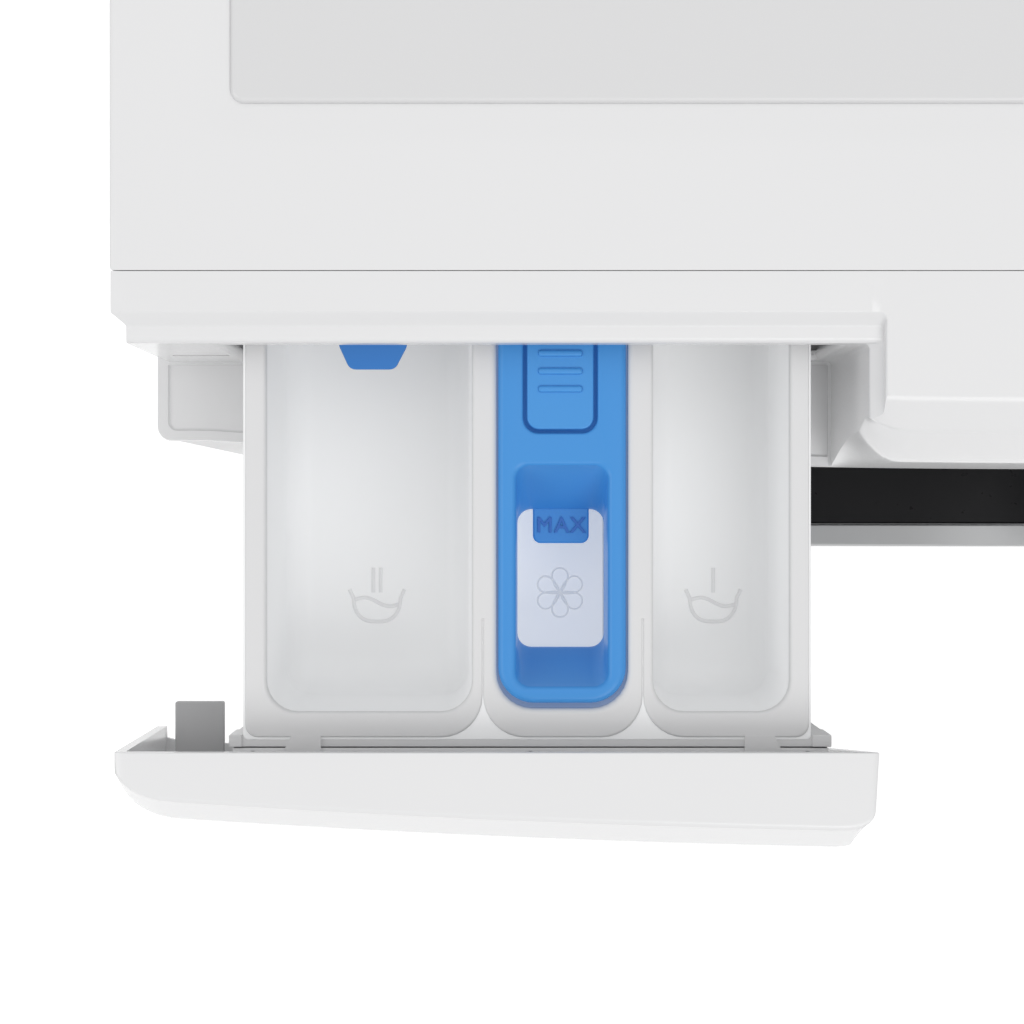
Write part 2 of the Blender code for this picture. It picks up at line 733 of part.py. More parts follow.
def make_siphon():
    left, right = -0.1857, -0.1470
    front, back = TRAY_FRONT + 0.0112, TRAY_FRONT + 0.1640
    top, bottom = TOP_Z - TRAY_RIM + 0.0005, TOP_Z - 0.0560
    insert = pocket_solid("siphon_insert", left, right, front, back, top, bottom)
    well = rounded_rectangle(left + 0.0050, front + 0.0050, right - 0.0055, front + 0.0700, 0.004)
    cut(insert, outline_plate("well", well, bottom - 0.02, top + 0.02))
    tab = rounded_rectangle(-0.1782, front + 0.0815, -0.1556, front + 0.1250, 0.0045)
    cut(insert, outline_plate("tab_opening", tab, bottom - 0.02, top + 0.02))
    low = (left + 0.002, front + 0.0745, bottom - 0.01)
    cut(insert, box("hollow", low, (right - 0.002, back - 0.002, top - 0.002)))
    paint(insert, BLUE, 0.4)
    leaf = rounded_rectangle(-0.1770, front + 0.0828, -0.1568, front + 0.1238, 0.0036)
    tab_piece = outline_plate("release_tab", leaf, top - 0.0020, top)
    hinge_on(tab_piece, (-0.1669, front + 0.1238, top - 0.001))
    paint(tab_piece, BLUE, 0.4)


def pocket_solid(name, left, right, front, back, top, bottom):
    """A block with a large radius at its front corners and square back corners."""
    outline = arc((right - 0.0105, front + 0.0105), 0.0105, 360, 270, 4)
    outline += arc((left + 0.0105, front + 0.0105), 0.0105, 270, 180, 4)
    outline += [(left, back), (right, back)]
    return outline_plate(name, outline, bottom, top)


def make_liquid_flap():
    centre_x = -0.2247
    hinge_y, hinge_z = TRAY_FRONT + 0.1290, TOP_Z - 0.0300
    outline = [(-0.0150, 0.0), (0.0150, 0.0), (0.0150, -0.012)]
    outline += [(0.0105, -0.0185), (-0.0080, -0.0185), (-0.0110, -0.012)]
    flap = outline_plate("liquid_flap", outline, -0.001, 0.001)
    slope = Matrix.Rotation(math.radians(25), 4, "X")
    flap.data.transform(Matrix.Translation((centre_x, hinge_y, hinge_z)) @ slope)
    hinge_on(flap, (centre_x, hinge_y, hinge_z))
    paint(flap, BLUE, 0.4)


def make_housing():
    wall = 0.0025
    top, bottom = TOP_Z - 0.0120, TOP_Z - 0.0975
    left, right = MOUTH_LEFT - 0.0015, MOUTH_RIGHT + 0.0015
    front = FRONT_Y + RECESS_BACK + 0.0036
    back = FRONT_Y + 0.258
    low = (left - wall, front, bottom - wall)
    housing = box("dispenser_housing", low, (right + wall, back + wall, top + 0.002))
    cut(housing, box("bay", (left, front - 0.01, bottom), (right, back, top)))
    near, far = (-0.165, -0.025, bottom - 0.02), (-0.165, -0.025, bottom + 0.02)
    cut(housing, cylinder("drain", 0.0135, near, far, 16))
    paint(housing, GREY, 0.5)


# ---------------------------------------------------------------- door


def make_door():
    frame = turned(
        "door_frame",
        [
            (DOOR_RADIUS, TRIM_BACK + 0.0003), (DOOR_RADIUS, DOOR_BACK), (0.2412, DOOR_BACK),
            (0.2412, TRIM_BACK + 0.0037), (0.190, TRIM_BACK + 0.0037), (0.153, TRIM_BACK + 0.0100),
            (0.153, TRIM_BACK + 0.0066), (0.188, TRIM_BACK + 0.0003),
        ],
        sides=ROUND,
    )
    cut(frame, hinge_notch())
    paint(frame, BLACK, 0.2)
    trim = turned(
        "door_trim_ring",
        [(0.2430, TRIM_FRONT), (DOOR_RADIUS, TRIM_FRONT + 0.0015), (DOOR_RADIUS, TRIM_BACK),
         (0.192, TRIM_BACK), (0.192, TRIM_FRONT + 0.005), (0.206, TRIM_FRONT)],
        sides=ROUND,
    )
    paint(trim, STEEL, 0.15, 1.0)
    flange = TRIM_BACK + 0.0110
    glass = turned(
        "door_glass",
        [(0.167, flange), (0.167, flange + 0.004), (0.151, flange + 0.004), (0.118, -0.158), (0.105, -0.150),
         (0.0, -0.146), (0.0, -0.150), (0.102, -0.154), (0.114, -0.161), (0.147, flange)],
        sides=32,
    )
    paint(glass, (0.6, 0.62, 0.64), 0.05)
    inner = turned(
        "door_inner_frame",
        [(0.239, DOOR_BACK - 0.0005), (0.156, DOOR_BACK - 0.0005), (0.156, flange + 0.0045),
         (0.159, flange + 0.0045), (0.159, DOOR_BACK - 0.0030), (0.239, DOOR_BACK - 0.0030)],
        sides=ROUND,
    )
    slot = (LATCH_X - 0.0090, DOOR_BACK - 0.02, AXIS_Z - 0.011)
    cut(inner, box("slot", slot, (LATCH_X + 0.0090, DOOR_BACK + 0.02, AXIS_Z + 0.011)))
    cut(inner, hinge_notch())
    paint(inner, GREY, 0.5)
    make_latch_hook()


def hinge_notch():
    """The room that the door's ring leaves around its hinge knuckle."""
    x, y = DOOR_HINGE
    low = (x - 0.030, y - 0.0060, AXIS_Z - HINGE_HALF - 0.001)
    return box("notch", low, (x + 0.0090, CABINET_FRONT + 0.02, AXIS_Z + HINGE_HALF + 0.001))


def make_latch_hook():
    tip = CABINET_FRONT + 0.028
    outline = [
        (LATCH_X - 0.004, LATCH_PIVOT_Y - 0.003),
        (LATCH_X + 0.004, LATCH_PIVOT_Y - 0.003),
        (LATCH_X + 0.003, tip - 0.008),
        (LATCH_X + 0.0065, tip - 0.008),
        (LATCH_X + 0.002, tip),
        (LATCH_X - 0.003, tip - 0.002),
    ]
    hook = outline_plate("door_latch_hook", outline, AXIS_Z - 0.008, AXIS_Z + 0.008)
    hinge_on(hook, (LATCH_X, LATCH_PIVOT_Y, AXIS_Z))
    paint(hook, STEEL, 0.35, 0.9)


def make_hinge_and_lock():
    x, y = DOOR_HINGE
    low, high = AXIS_Z - HINGE_HALF, AXIS_Z + HINGE_HALF
    bracket = cylinder("door_hinge_bracket", 0.0045, (x, y, low), (x, y, high), 24)
    join(bracket, box("leaf", (x + 0.0012, y, low), (x + 0.0060, CABINET_FRONT - 0.0003, high)))
    paint(bracket, STEEL, 0.4, 0.9)
    front, back = CABINET_FRONT + 0.0016, CABINET_FRONT + 0.0345
    lock = box("door_lock", (LATCH_X - 0.020, front, AXIS_Z - 0.040), (LATCH_X + 0.018, back, AXIS_Z + 0.045))
    low = (LATCH_X - 0.0105, front - 0.01, AXIS_Z - 0.012)
    cut(lock, box("throat", low, (LATCH_X + 0.0100, back - 0.003, AXIS_Z + 0.012)))
    paint(lock, BLACK, 0.5)


# ---------------------------------------------------------------- tub, drum and drive


def make_tub():
    inner = TUB_RADIUS - TUB_WALL
    wall = TUB_WALL
    front = turned(
        "tub_front",
        [
            (TUB_RADIUS, TUB_SPLIT - GAP), (TUB_RADIUS, TUB_FRONT), (MOUTH_RADIUS + wall, TUB_FRONT),
            (MOUTH_RADIUS + wall, TUB_FRONT - 0.018), (MOUTH_RADIUS, TUB_FRONT - 0.018),
            (MOUTH_RADIUS, TUB_FRONT + wall), (inner, TUB_FRONT + wall), (inner, TUB_SPLIT - GAP),
        ],
    )
    paint(front, GREY, 0.5)
    rear = turned(
        "tub_rear",
        [
            (TUB_RADIUS, TUB_SPLIT), (inner, TUB_SPLIT), (inner, TUB_BACK - wall - 0.006),
            (HUB_RADIUS - 0.005, TUB_BACK - wall - 0.006), (0.0326, TUB_BACK - 0.006), (0.0326, HUB_BACK),
            (HUB_RADIUS, HUB_BACK), (HUB_RADIUS, TUB_BACK), (TUB_RADIUS, TUB_BACK),
        ],
    )
    for side in (-1, 1):
        reach = sorted((side * 0.200, side * (SPRING_X + 0.008)))
        join(rear, box("lug", (reach[0], SPRING_Y - 0.010, 0.600), (reach[1], SPRING_Y + 0.010, 0.612)))
    paint(rear, GREY, 0.5)
    front_weight = turned(
        "front_counterweight",
        [(0.258, TUB_FRONT - 0.035), (0.258, TUB_FRONT - GAP),
         (0.192, TUB_FRONT - GAP), (0.192, TUB_FRONT - 0.035)],
        sides=36,
    )
    low = (0.10, TUB_FRONT - 0.1, AXIS_Z - 0.10)
    cut(front_weight, box("slice", low, (0.3, TUB_FRONT + 0.1, AXIS_Z + 0.10)))
    paint(front_weight, (0.35, 0.35, 0.34), 0.9)
    weight = box("top_counterweight", (-0.125, 0.005, AXIS_Z + 0.20), (0.165, 0.165, AXIS_Z + 0.290))
    saddle = cylinder("saddle", TUB_RADIUS + 0.001, (0, -0.05, AXIS_Z), (0, 0.25, AXIS_Z), ROUND)
    cut(weight, saddle)
    paint(weight, (0.35, 0.35, 0.34), 0.9)


def make_drum():
    shell = turned(
        "drum",
        [(DRUM_RADIUS, DRUM_FRONT), (DRUM_RADIUS, DRUM_BACK), (0.17, DRUM_BACK - 0.006), (0, DRUM_BACK),
         (0, DRUM_BACK - 0.001), (0.17, DRUM_BACK - 0.007), (DRUM_RADIUS - 0.001, DRUM_BACK - 0.001),
         (DRUM_RADIUS - 0.001, DRUM_FRONT + 0.001), (DRUM_MOUTH + 0.002, DRUM_FRONT + 0.001),
         (DRUM_MOUTH, DRUM_FRONT + 0.008), (DRUM_MOUTH - 0.001, DRUM_FRONT + 0.008),
         (DRUM_MOUTH + 0.001, DRUM_FRONT)],
    )
    paint(shell, STEEL, 0.25, 1.0)
    for number, turn in enumerate((90, 210, 330), 1):
        outline = [(-0.030, 0.0), (0.030, 0.0), (0.012, 0.042), (-0.012, 0.042)]
        name = "drum_lifter_" + str(number)
        lifter = outline_plate(name, outline, DRUM_FRONT + 0.035, DRUM_BACK - 0.030, "Y")
        spin = Matrix.Rotation(math.radians(turn), 4, "Y")
        place = Matrix.Translation((0, 0, AXIS_Z)) @ spin @ Matrix.Translation((0, 0, -DRUM_RADIUS + 0.0052))
        lifter.data.transform(place)
        paint(lifter, (0.55, 0.56, 0.58), 0.4)
    start = DRUM_BACK + 0.0008
    spider = cylinder("drum_spider", 0.030, (0, start, AXIS_Z), (0, start + 0.014, AXIS_Z), 24)
    for turn in (30, 150, 270):
        arm = box("arm", (0.0, start + 0.001, -0.012), (0.215, start + 0.012, 0.012))
        arm.data.transform(Matrix.Translation((0, 0, AXIS_Z)) @ Matrix.Rotation(math.radians(turn), 4, "Y"))
        join(spider, arm)
    join(spider, cylinder("shaft", SHAFT_RADIUS, (0, start + 0.005, AXIS_Z), (0, 0.3085, AXIS_Z), 24))
    paint(spider, STEEL, 0.4, 0.9)
    inner, outer, spacer = SHAFT_RADIUS + 0.0004, 0.0322, 0.019
    bearings = turned(
        "drum_bearings",
        [(outer, 0.2365), (outer, 0.2505), (spacer, 0.2505), (spacer, 0.2700), (outer, 0.2700),
         (outer, 0.2840), (inner, 0.2840), (inner, 0.2365)],
        sides=24,
    )
    paint(bearings, STEEL, 0.2, 1.0)


def make_drive():
    front, back = PULLEY_FRONT, PULLEY_FRONT + PULLEY_WIDTH
    middle = (front + back) / 2
    pulley = turned(
        "drum_pulley",
        [
            (PULLEY_RADIUS, front), (PULLEY_RADIUS, back), (PULLEY_RADIUS - 0.006, back),
            (PULLEY_RADIUS - 0.006, middle + 0.002), (0.030, middle + 0.002), (0.030, back),
            (SHAFT_RADIUS + 0.0004, back), (SHAFT_RADIUS + 0.0004, front), (0.030, front),
            (0.030, middle - 0.002), (PULLEY_RADIUS - 0.006, middle - 0.002), (PULLEY_RADIUS - 0.006, front),
        ],
    )
    paint(pulley, STEEL, 0.4, 0.9)
    housing = cylinder("motor_housing", 0.055, (MOTOR_X, 0.120, MOTOR_Z), (MOTOR_X, 0.270, MOTOR_Z), 24)
    cut(housing, cylinder("bore", 0.0062, (MOTOR_X, 0.225, MOTOR_Z), (MOTOR_X, 0.29, MOTOR_Z), 16))
    paint(housing, STEEL, 0.5, 0.5)
    rotor = turned(
        "motor_pulley",
        [(0, 0.230), (0.0055, 0.230), (0.0055, front - 0.001), (MOTOR_PULLEY_RADIUS, front - 0.001),
         (MOTOR_PULLEY_RADIUS, back + 0.001), (0, back + 0.001)],
        (MOTOR_X, MOTOR_Z),
        20,
    )
    paint(rotor, STEEL, 0.4, 0.9)
    make_belt(front + 0.001, back - 0.001)


def belt_outline(extra):
    """The loop around both pulleys, a given distance outside them, as (x, z) points."""
    large, small = PULLEY_RADIUS + extra, MOTOR_PULLEY_RADIUS + extra
    away = Vector((MOTOR_X, MOTOR_Z - AXIS_Z))
    heading = math.degrees(math.atan2(away.y, away.x))
    spread = math.degrees(math.acos((large - small) / away.length))
    points = arc((0, AXIS_Z), large, heading + spread, heading + 360 - spread, 24)
    points += arc((MOTOR_X, MOTOR_Z), small, heading - spread, heading + spread, 8)
    return points


def make_belt(front, back):
    inner = belt_outline(0.0008)
    outer = belt_outline(0.0008 + BELT_THICKNESS)
    belt = outline_plate("drive_belt", outer, front, back, "Y", holes=[inner])
    paint(belt, BLACK, 0.8)


def make_heater():
    x, z = 0.045, AXIS_Z - 0.2470
    points = [(-x, -0.150, z)]
    points += [(-u, v, z) for u, v in [(x, 0.12), (x * 0.86, 0.14), (x * 0.5, 0.153), (0, 0.158)]]
    points += [(u, v, z) for u, v in [(x * 0.5, 0.153), (x * 0.86, 0.14), (x, 0.12), (x, -0.150)]]
    paint(wire("heater", points, 0.0030), STEEL, 0.4, 0.9)


# ---------------------------------------------------------------- suspension and hoses


def make_suspension():
    turns, steps, coil = 9, 8, 0.009
    low, high = 0.628, 0.784
    for x, side in ((-SPRING_X, "left"), (SPRING_X, "right")):
        points = [(x, SPRING_Y, 0.6125), (x, SPRING_Y, low - 0.006)]
        for i in range(turns * steps + 1):
            angle = 2 * math.pi * i / steps
            z = low + (high - low) * i / (turns * steps)
            points.append((x + coil * math.cos(angle), SPRING_Y + coil * math.sin(angle), z))
        points += [(x, SPRING_Y, high + 0.006), (x, SPRING_Y, 0.7990)]
        paint(wire("suspension_spring_" + side, points, 0.0014, 1), STEEL, 0.3, 0.9)
    for x, side in ((-DAMPER_X, "left"), (DAMPER_X, "right")):
        profile = [(0.0, 0.0), (0.014, 0.0), (0.014, 0.095), (0.0095, 0.095), (0.0095, 0.010), (0.0, 0.010)]
        sleeve = turned("damper_cylinder_" + side, profile, sides=16)
        sleeve.rotation_euler = (0, 0, 0)
        sleeve.location = (x, DAMPER_Y, 0.0210)
        paint(sleeve, BLACK, 0.5)
        rod = cylinder("damper_rod_" + side, 0.0080, (x, DAMPER_Y, 0.060), (x, DAMPER_Y, 0.224), 14)
        paint(rod, GREY, 0.4)


def make_bellows():
    outer_r, neck_r, wall = 0.1708, 0.1600, 0.0025
    front = CABINET_FRONT + 0.0002
    section = [
        (outer_r, front),
        (outer_r, front + 0.012),
        (neck_r + wall, front + 0.020),
        (neck_r + wall, TUB_FRONT + 0.010),
        (neck_r, TUB_FRONT + 0.010),
        (neck_r, front + 0.018),
        (outer_r - wall, front + 0.010),
        (outer_r - wall, front),
    ]
    paint(turned("door_bellows", section, sides=36), (0.45, 0.46, 0.47), 0.7)


def make_water_path():
    x, z = INLET_X, INLET_Z
    back = CABINET_BACK
    valve = box("inlet_valve", (x - 0.025, back - 0.045, z - 0.022), (x + 0.025, back - 0.0006, z + 0.022))
    paint(valve, WHITE, 0.5)
    thread_back = FRONT_Y + DEPTH
    join(valve, cylinder("spout", 0.0131, (x, back - 0.010, z), (x, thread_back, z)))
    cut(valve, cylinder("waterway", 0.0095, (x, back - 0.020, z), (x, thread_back + 0.01, z)))
    wide, narrow, bore = 0.0125, 0.0105, 0.0085
    near, far = back + 0.0013, back + 0.018
    profile = [(wide, near), (narrow, far), (bore, far), (bore, near)]
    paint(turned("drain_outlet", profile, (0.215, 0.775), 20), GREY, 0.5)
    route = [(-0.165, -0.025, 0.7475), (-0.165, -0.025, 0.710), (-0.163, -0.025, 0.6650)]
    paint(wire("dispenser_hose", route, 0.0125, 2), BLACK, 0.7)
    route = [(0.02, -0.09, 0.168), (0.02, -0.09, 0.130), (0.045, -0.09, 0.106)]
    route += [(0.09, -0.09, 0.096), (0.1585, -0.100, 0.0955)]
    paint(wire("sump_hose", route, 0.014, 2), BLACK, 0.7)
    front = CABINET_FRONT + 0.026
    low = (FILTER_X - 0.040, front, FILTER_Z - 0.040)
    pump = box("drain_pump", low, (FILTER_X + 0.040, front + 0.085, FILTER_Z + 0.035))
    near, far = (FILTER_X, front - 0.01, FILTER_Z), (FILTER_X, front + 0.050, FILTER_Z)
    cut(pump, cylinder("filter_seat", 0.0305, near, far, 24))
    paint(pump, GREY, 0.5)


def make_filter():
    grip = CABINET_FRONT + 0.006
    near, far = (FILTER_X, grip + 0.012, FILTER_Z), (FILTER_X, grip + 0.060, FILTER_Z)
    filter_cap = cylinder("pump_filter", 0.0295, near, far, 24)
    low = (FILTER_X - 0.022, grip, FILTER_Z - 0.0045)
    join(filter_cap, box("grip", low, (FILTER_X + 0.022, grip + 0.014, FILTER_Z + 0.0045)))
    solid = as_mesh(filter_cap)
    hinge_on(solid, (FILTER_X, grip, FILTER_Z))
    paint(solid, GREY, 0.5)
    gap = 0.0007
    low = (HATCH_LEFT + gap, CABINET_FRONT, HATCH_BOTTOM + gap)
    hatch = box("filter_hatch", low, (HATCH_RIGHT - gap, CABINET_FRONT + 0.0020, HATCH_TOP - gap))
    hinge_on(hatch, (FILTER_X, CABINET_FRONT + 0.0005, HATCH_BOTTOM + 0.0012))
    paint(hatch, WHITE, 0.4)


# ---------------------------------------------------------------- the whole machine


def main():
    clear_scene()
    make_worktop()
    make_side_panels()
    make_back()
    make_front_panel()
    make_base_frame()
    make_feet()
    make_control_panel()
    make_controls()
    make_drawer_front()
    make_tray()
    make_siphon()
    make_liquid_flap()
    make_housing()
    make_door()
    make_hinge_and_lock()
    make_tub()
    make_drum()
    make_drive()
    make_heater()
    make_suspension()
    make_bellows()
    make_water_path()
    make_filter()


main()
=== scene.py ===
"""Looks of the front load washing machine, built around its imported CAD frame."""

import math

import bmesh
import bpy
from mathutils import Matrix, Vector


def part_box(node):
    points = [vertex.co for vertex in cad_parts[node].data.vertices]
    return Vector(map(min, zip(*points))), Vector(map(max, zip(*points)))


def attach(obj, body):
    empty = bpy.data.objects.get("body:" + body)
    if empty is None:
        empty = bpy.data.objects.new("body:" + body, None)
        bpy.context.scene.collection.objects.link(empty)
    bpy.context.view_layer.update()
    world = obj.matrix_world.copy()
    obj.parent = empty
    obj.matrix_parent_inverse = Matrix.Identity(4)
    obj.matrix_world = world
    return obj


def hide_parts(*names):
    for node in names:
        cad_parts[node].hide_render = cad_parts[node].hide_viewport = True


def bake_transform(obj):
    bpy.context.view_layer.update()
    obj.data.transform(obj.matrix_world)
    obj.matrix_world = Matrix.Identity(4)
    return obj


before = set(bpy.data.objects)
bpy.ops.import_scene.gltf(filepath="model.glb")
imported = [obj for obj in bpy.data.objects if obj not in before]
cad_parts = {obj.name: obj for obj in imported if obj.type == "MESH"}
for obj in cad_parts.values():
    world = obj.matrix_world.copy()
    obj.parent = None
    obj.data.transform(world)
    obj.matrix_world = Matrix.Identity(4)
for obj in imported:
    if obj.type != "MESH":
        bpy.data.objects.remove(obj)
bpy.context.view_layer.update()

# Planes and sizes taken from the frame
PANEL_LOW, PANEL_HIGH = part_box("control_panel")
TRAY_LOW, TRAY_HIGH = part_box("drawer_tray")
DRAWER_LOW, DRAWER_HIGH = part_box("drawer_front")
BOARD_LOW, BOARD_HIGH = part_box("worktop_board")
FRAME_LOW, FRAME_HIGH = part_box("worktop_frame")
TAB_LOW, TAB_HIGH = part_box("release_tab")
FLAP_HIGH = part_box("liquid_flap")[1]
INSERT_LOW, INSERT_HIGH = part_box("siphon_insert")
WINDOW_LOW, WINDOW_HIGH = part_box("display_window")
CASE_LOW, CASE_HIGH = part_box("front_panel")
TRIM_LOW, TRIM_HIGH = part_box("door_trim_ring")

TOP_Z = PANEL_HIGH.z  # flat top of the control panel and worktop frame
FRONT_Y = PANEL_LOW.y  # foremost line of the fascia
HALF = FRAME_HIGH.x
DRAWER_Y = DRAWER_LOW.y - 0.0004  # foremost line of the pulled-out drawer's bow
DRAWER_FLOOR = 0.0240  # how far back the drawer front's bottom reaches
RIM_Z = TRAY_HIGH.z
TRAY_Y = TRAY_LOW.y + 0.0150  # front wall of the tray, behind its snap tabs
AXIS_Z = (TRIM_LOW.z + TRIM_HIGH.z) / 2

# Shape of the fascia, as in the frame
FASCIA_RADIUS = 4.26
END_ROUND_X = 0.017
END_ROUND_Y = 0.010
FASCIA_BACK = 0.0566
RECESS_RIGHT = -0.0753
RECESS_BACK = 0.0357
RECESS_FLOOR = 0.1040
LIP_DROP = 0.004
LIP_LEFT = -0.2956
STEP_BACK = 0.0410
BEVEL = 0.0038  # width of the bevel along the recess's right wall
LEDGE_CORNER = 0.0045
SCOOP_WIDTH = 0.0130  # the fascia's end beside the recess curves back over this width
SCOOP_DEPTH = 0.0095
SCOOP_LEVEL = -0.0300
MOUTH = (-0.2690, -0.0820, 0.0150, 0.0930)  # left, right, and top and bottom below TOP_Z
ARM_LEFT, ARM_RIGHT = -0.2890, -0.2730  # the drawer's guide arm
ARM_TOP, ARM_BOTTOM = 0.0660, 0.0700
ARM_REACH = 0.0107
FASCIA_HEIGHT = 0.1073

# Shape of the tray and its siphon insert
TRAY_LEFT, TRAY_RIGHT = -0.2629, -0.0910
TRAY_DEPTH = 0.0550
RELIEF = 0.0006  # height of the raised rims over the tray's plain edge
RIM_DEPTH = 0.0035
SOFTENER_LEFT, SOFTENER_RIGHT = INSERT_LOW.x - 0.0005, INSERT_HIGH.x + 0.0005
POCKETS = {  # left, right, front, back, corner, round foot at the sides and at the front, lip
    "main_wash": (-0.2559, -0.1936, 0.0085, 0.209, 0.0095, 0.0085, 0.0130, 0.0012),
    "prewash": (-0.1388, -0.0974, 0.0085, 0.209, 0.0095, 0.0070, 0.0120, 0.0012),
    "softener": (SOFTENER_LEFT, SOFTENER_RIGHT, 0.0096, 0.209, 0.0110, 0.0060, 0.0080, 0.0019),
}
SEAMS = (-0.1903, -0.1419)  # where neighbouring compartments meet
GROOVE_LENGTH = 0.036
FRONT_CORNER = 0.0125
SIPHON_DEPTH = 0.0260
FUNNEL_DEPTH = 0.0236
FUNNEL_BACK = 0.0717

BACK_WALL = 0.0010  # thickness of the back sheet


# ---------------------------------------------------------------- mesh helpers


def piece(name, bm, body, stands_for=(), material=None, sharp=40.0, recalculate=True):
    """Finish a bmesh as a smooth piece that rides on a body and may replace CAD nodes."""
    if recalculate:
        bmesh.ops.recalc_face_normals(bm, faces=bm.faces)
    shade(bm, sharp)
    mesh = bpy.data.meshes.new(name)
    bm.to_mesh(mesh)
    bm.free()
    item = bpy.data.objects.new(name, mesh)
    bpy.context.scene.collection.objects.link(item)
    weigh = item.modifiers.new("shading", "WEIGHTED_NORMAL")
    weigh.keep_sharp = True
    weigh.weight = 100
    if material:
        mesh.materials.append(material)
    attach(item, body)
    if stands_for:
        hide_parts(*stands_for)
    return item


def shade(bm, sharp):
    """Smooth faces, with edges kept sharp where they turn by more than an angle in degrees."""
    limit = math.radians(sharp)
    for face in bm.faces:
        face.smooth = True
    for edge in bm.edges:
        edge.smooth = not (len(edge.link_faces) == 2 and edge.calc_face_angle(0.0) > limit)


def add_loft(bm, rings, cap_first=True, cap_last=True):
    """Join closed rings of equal length with quads, and cap the ends if asked."""
    made = [[bm.verts.new(point) for point in ring] for ring in rings]
    for first, second in zip(made, made[1:]):
        bridge(bm, first, second)
    if cap_first:
        bm.faces.new(made[0])
    if cap_last:
        bm.faces.new(reversed(made[-1]))
    return made


def bridge(bm, first, second):
    """Join two closed rings of vertices with quads."""
    count = len(first)
    for i in range(count):
        after = (i + 1) % count
        bm.faces.new((first[i], first[after], second[after], second[i]))


def add_box(bm, low, high, edge=0.0006, segments=2):
    """A box with small round edges, added to a bmesh."""
    part = bmesh.new()
    bmesh.ops.create_cube(part, size=1.0)
    size = Vector(high) - Vector(low)
    bmesh.ops.scale(part, vec=size, verts=part.verts)
    bmesh.ops.translate(part, vec=(Vector(high) + Vector(low)) / 2, verts=part.verts)
    if edge:
        bmesh.ops.bevel(part, geom=part.edges, offset=edge, segments=segments, profile=0.5, affect="EDGES")
    bmesh.ops.recalc_face_normals(part, faces=part.faces)
    append(bm, part)


def append(bm, part, matrix=None):
    """Add one bmesh to another, moved by a matrix, and free it."""
    if matrix:
        bmesh.ops.transform(part, matrix=matrix, verts=part.verts)
    mesh = bpy.data.meshes.new("part")
    part.to_mesh(mesh)
    part.free()
    bm.from_mesh(mesh)
    bpy.data.meshes.remove(mesh)


def add_turned(bm, profile, x=0.0, z=None, sides=96):
    """Turn a closed profile of (radius, y) points about a fore-and-aft axis."""
    z = AXIS_Z if z is None else z
    on_axis = [abs(radius) < 1e-7 for radius, _ in profile]
    rows = []
    for (radius, y), lone in zip(profile, on_axis):
        if lone:
            rows.append([bm.verts.new((x, y, z))])
            continue
        row = []
        for i in range(sides):
            angle = 2 * math.pi * i / sides
            row.append(bm.verts.new((x + radius * math.cos(angle), y, z + radius * math.sin(angle))))
        rows.append(row)
    count = len(rows)
    for k in range(count):
        first, second = rows[k], rows[(k + 1) % count]
        if len(first) == 1 and len(second) == 1:
            continue
        for i in range(sides):
            after = (i + 1) % sides
            if len(first) == 1:
                bm.faces.new((first[0], second[after], second[i]))
            elif len(second) == 1:
                bm.faces.new((first[i], first[after], second[0]))
            else:
                bm.faces.new((first[i], first[after], second[after], second[i]))


def turned_piece(name, profile, body, stands_for, material, x=0.0, z=None, sides=96, sharp=40.0):
    """A piece turned about a fore-and-aft axis."""
    bm = bmesh.new()
    add_turned(bm, profile, x, z, sides)
    return piece(name, bm, body, stands_for, material, sharp)


def add_upright(bm, profile, place, sides):
    """Turn a profile of (radius, height) points about a standing axis at a place."""
    part = bmesh.new()
    add_turned(part, profile, 0.0, 0.0, sides)
    append(bm, part, Matrix.Translation(place) @ Matrix.Rotation(math.radians(90), 4, "X"))


def add_fluted(bm, profile, x, z, sides, flutes, depth):
    """Turn (radius, y, share) points, where share says how deep the flutes are there."""
    rows = []
    for radius, y, share in profile:
        row = []
        for i in range(sides):
            angle = 2 * math.pi * i / sides
            own = radius + depth * share * (math.cos(flutes * angle) - 1)
            row.append((x + own * math.cos(angle), y, z + own * math.sin(angle)))
        rows.append(row)
    add_loft(bm, rows)
    bmesh.ops.remove_doubles(bm, verts=bm.verts, dist=1e-7)


def fillet(points, radii, steps=4):
    """Round the corners of a closed 2D outline, each by its own radius."""
    result = []
    count = len(points)
    for i, (corner, radius) in enumerate(zip(points, radii)):
        here = Vector(corner)
        before = Vector(points[i - 1]) - here
        after = Vector(points[(i + 1) % count]) - here
        if radius <= 0:
            result.append(tuple(here))
            continue
        opening = before.angle(after)
        reach = min(radius / math.tan(opening / 2), before.length * 0.49, after.length * 0.49)
        start = here + before.normalized() * reach
        end = here + after.normalized() * reach
        for k in range(steps + 1):
            t = k / steps
            bend = (1 - t) ** 2 * start + 2 * t * (1 - t) * here + t * t * end
            result.append(tuple(bend))
    return result


def round_edge(radius, steps):
    """Offsets along a quarter-round edge: in from one face, and down from the other."""
    angles = [math.pi / 2 * k / steps for k in range(steps + 1)]
    return [(radius * (1 - math.sin(angle)), radius * (1 - math.cos(angle))) for angle in angles]


def round_rect(left, front, right, back, radii, steps=6):
    """Outline with true arcs; radii are front-left, front-right, back-right, back-left."""
    corners = [
        ((left + radii[0], front + radii[0]), radii[0], 180),
        ((right - radii[1], front + radii[1]), radii[1], 270),
        ((right - radii[2], back - radii[2]), radii[2], 0),
        ((left + radii[3], back - radii[3]), radii[3], 90),
    ]
    points = []
    for (cx, cy), radius, start in corners:
        for k in range(steps + 1):
            angle = math.radians(start + 90 * k / steps)
            points.append((cx + radius * math.cos(angle), cy + radius * math.sin(angle)))
    return points


def in_plan(outline, z):
    """An outline seen from above, set at a height."""
    return [(x, y, z) for x, y in outline]


def in_front(outline, y):
    """An outline seen from the front, set at a depth."""
    return [(x, y, z) for x, z in outline]


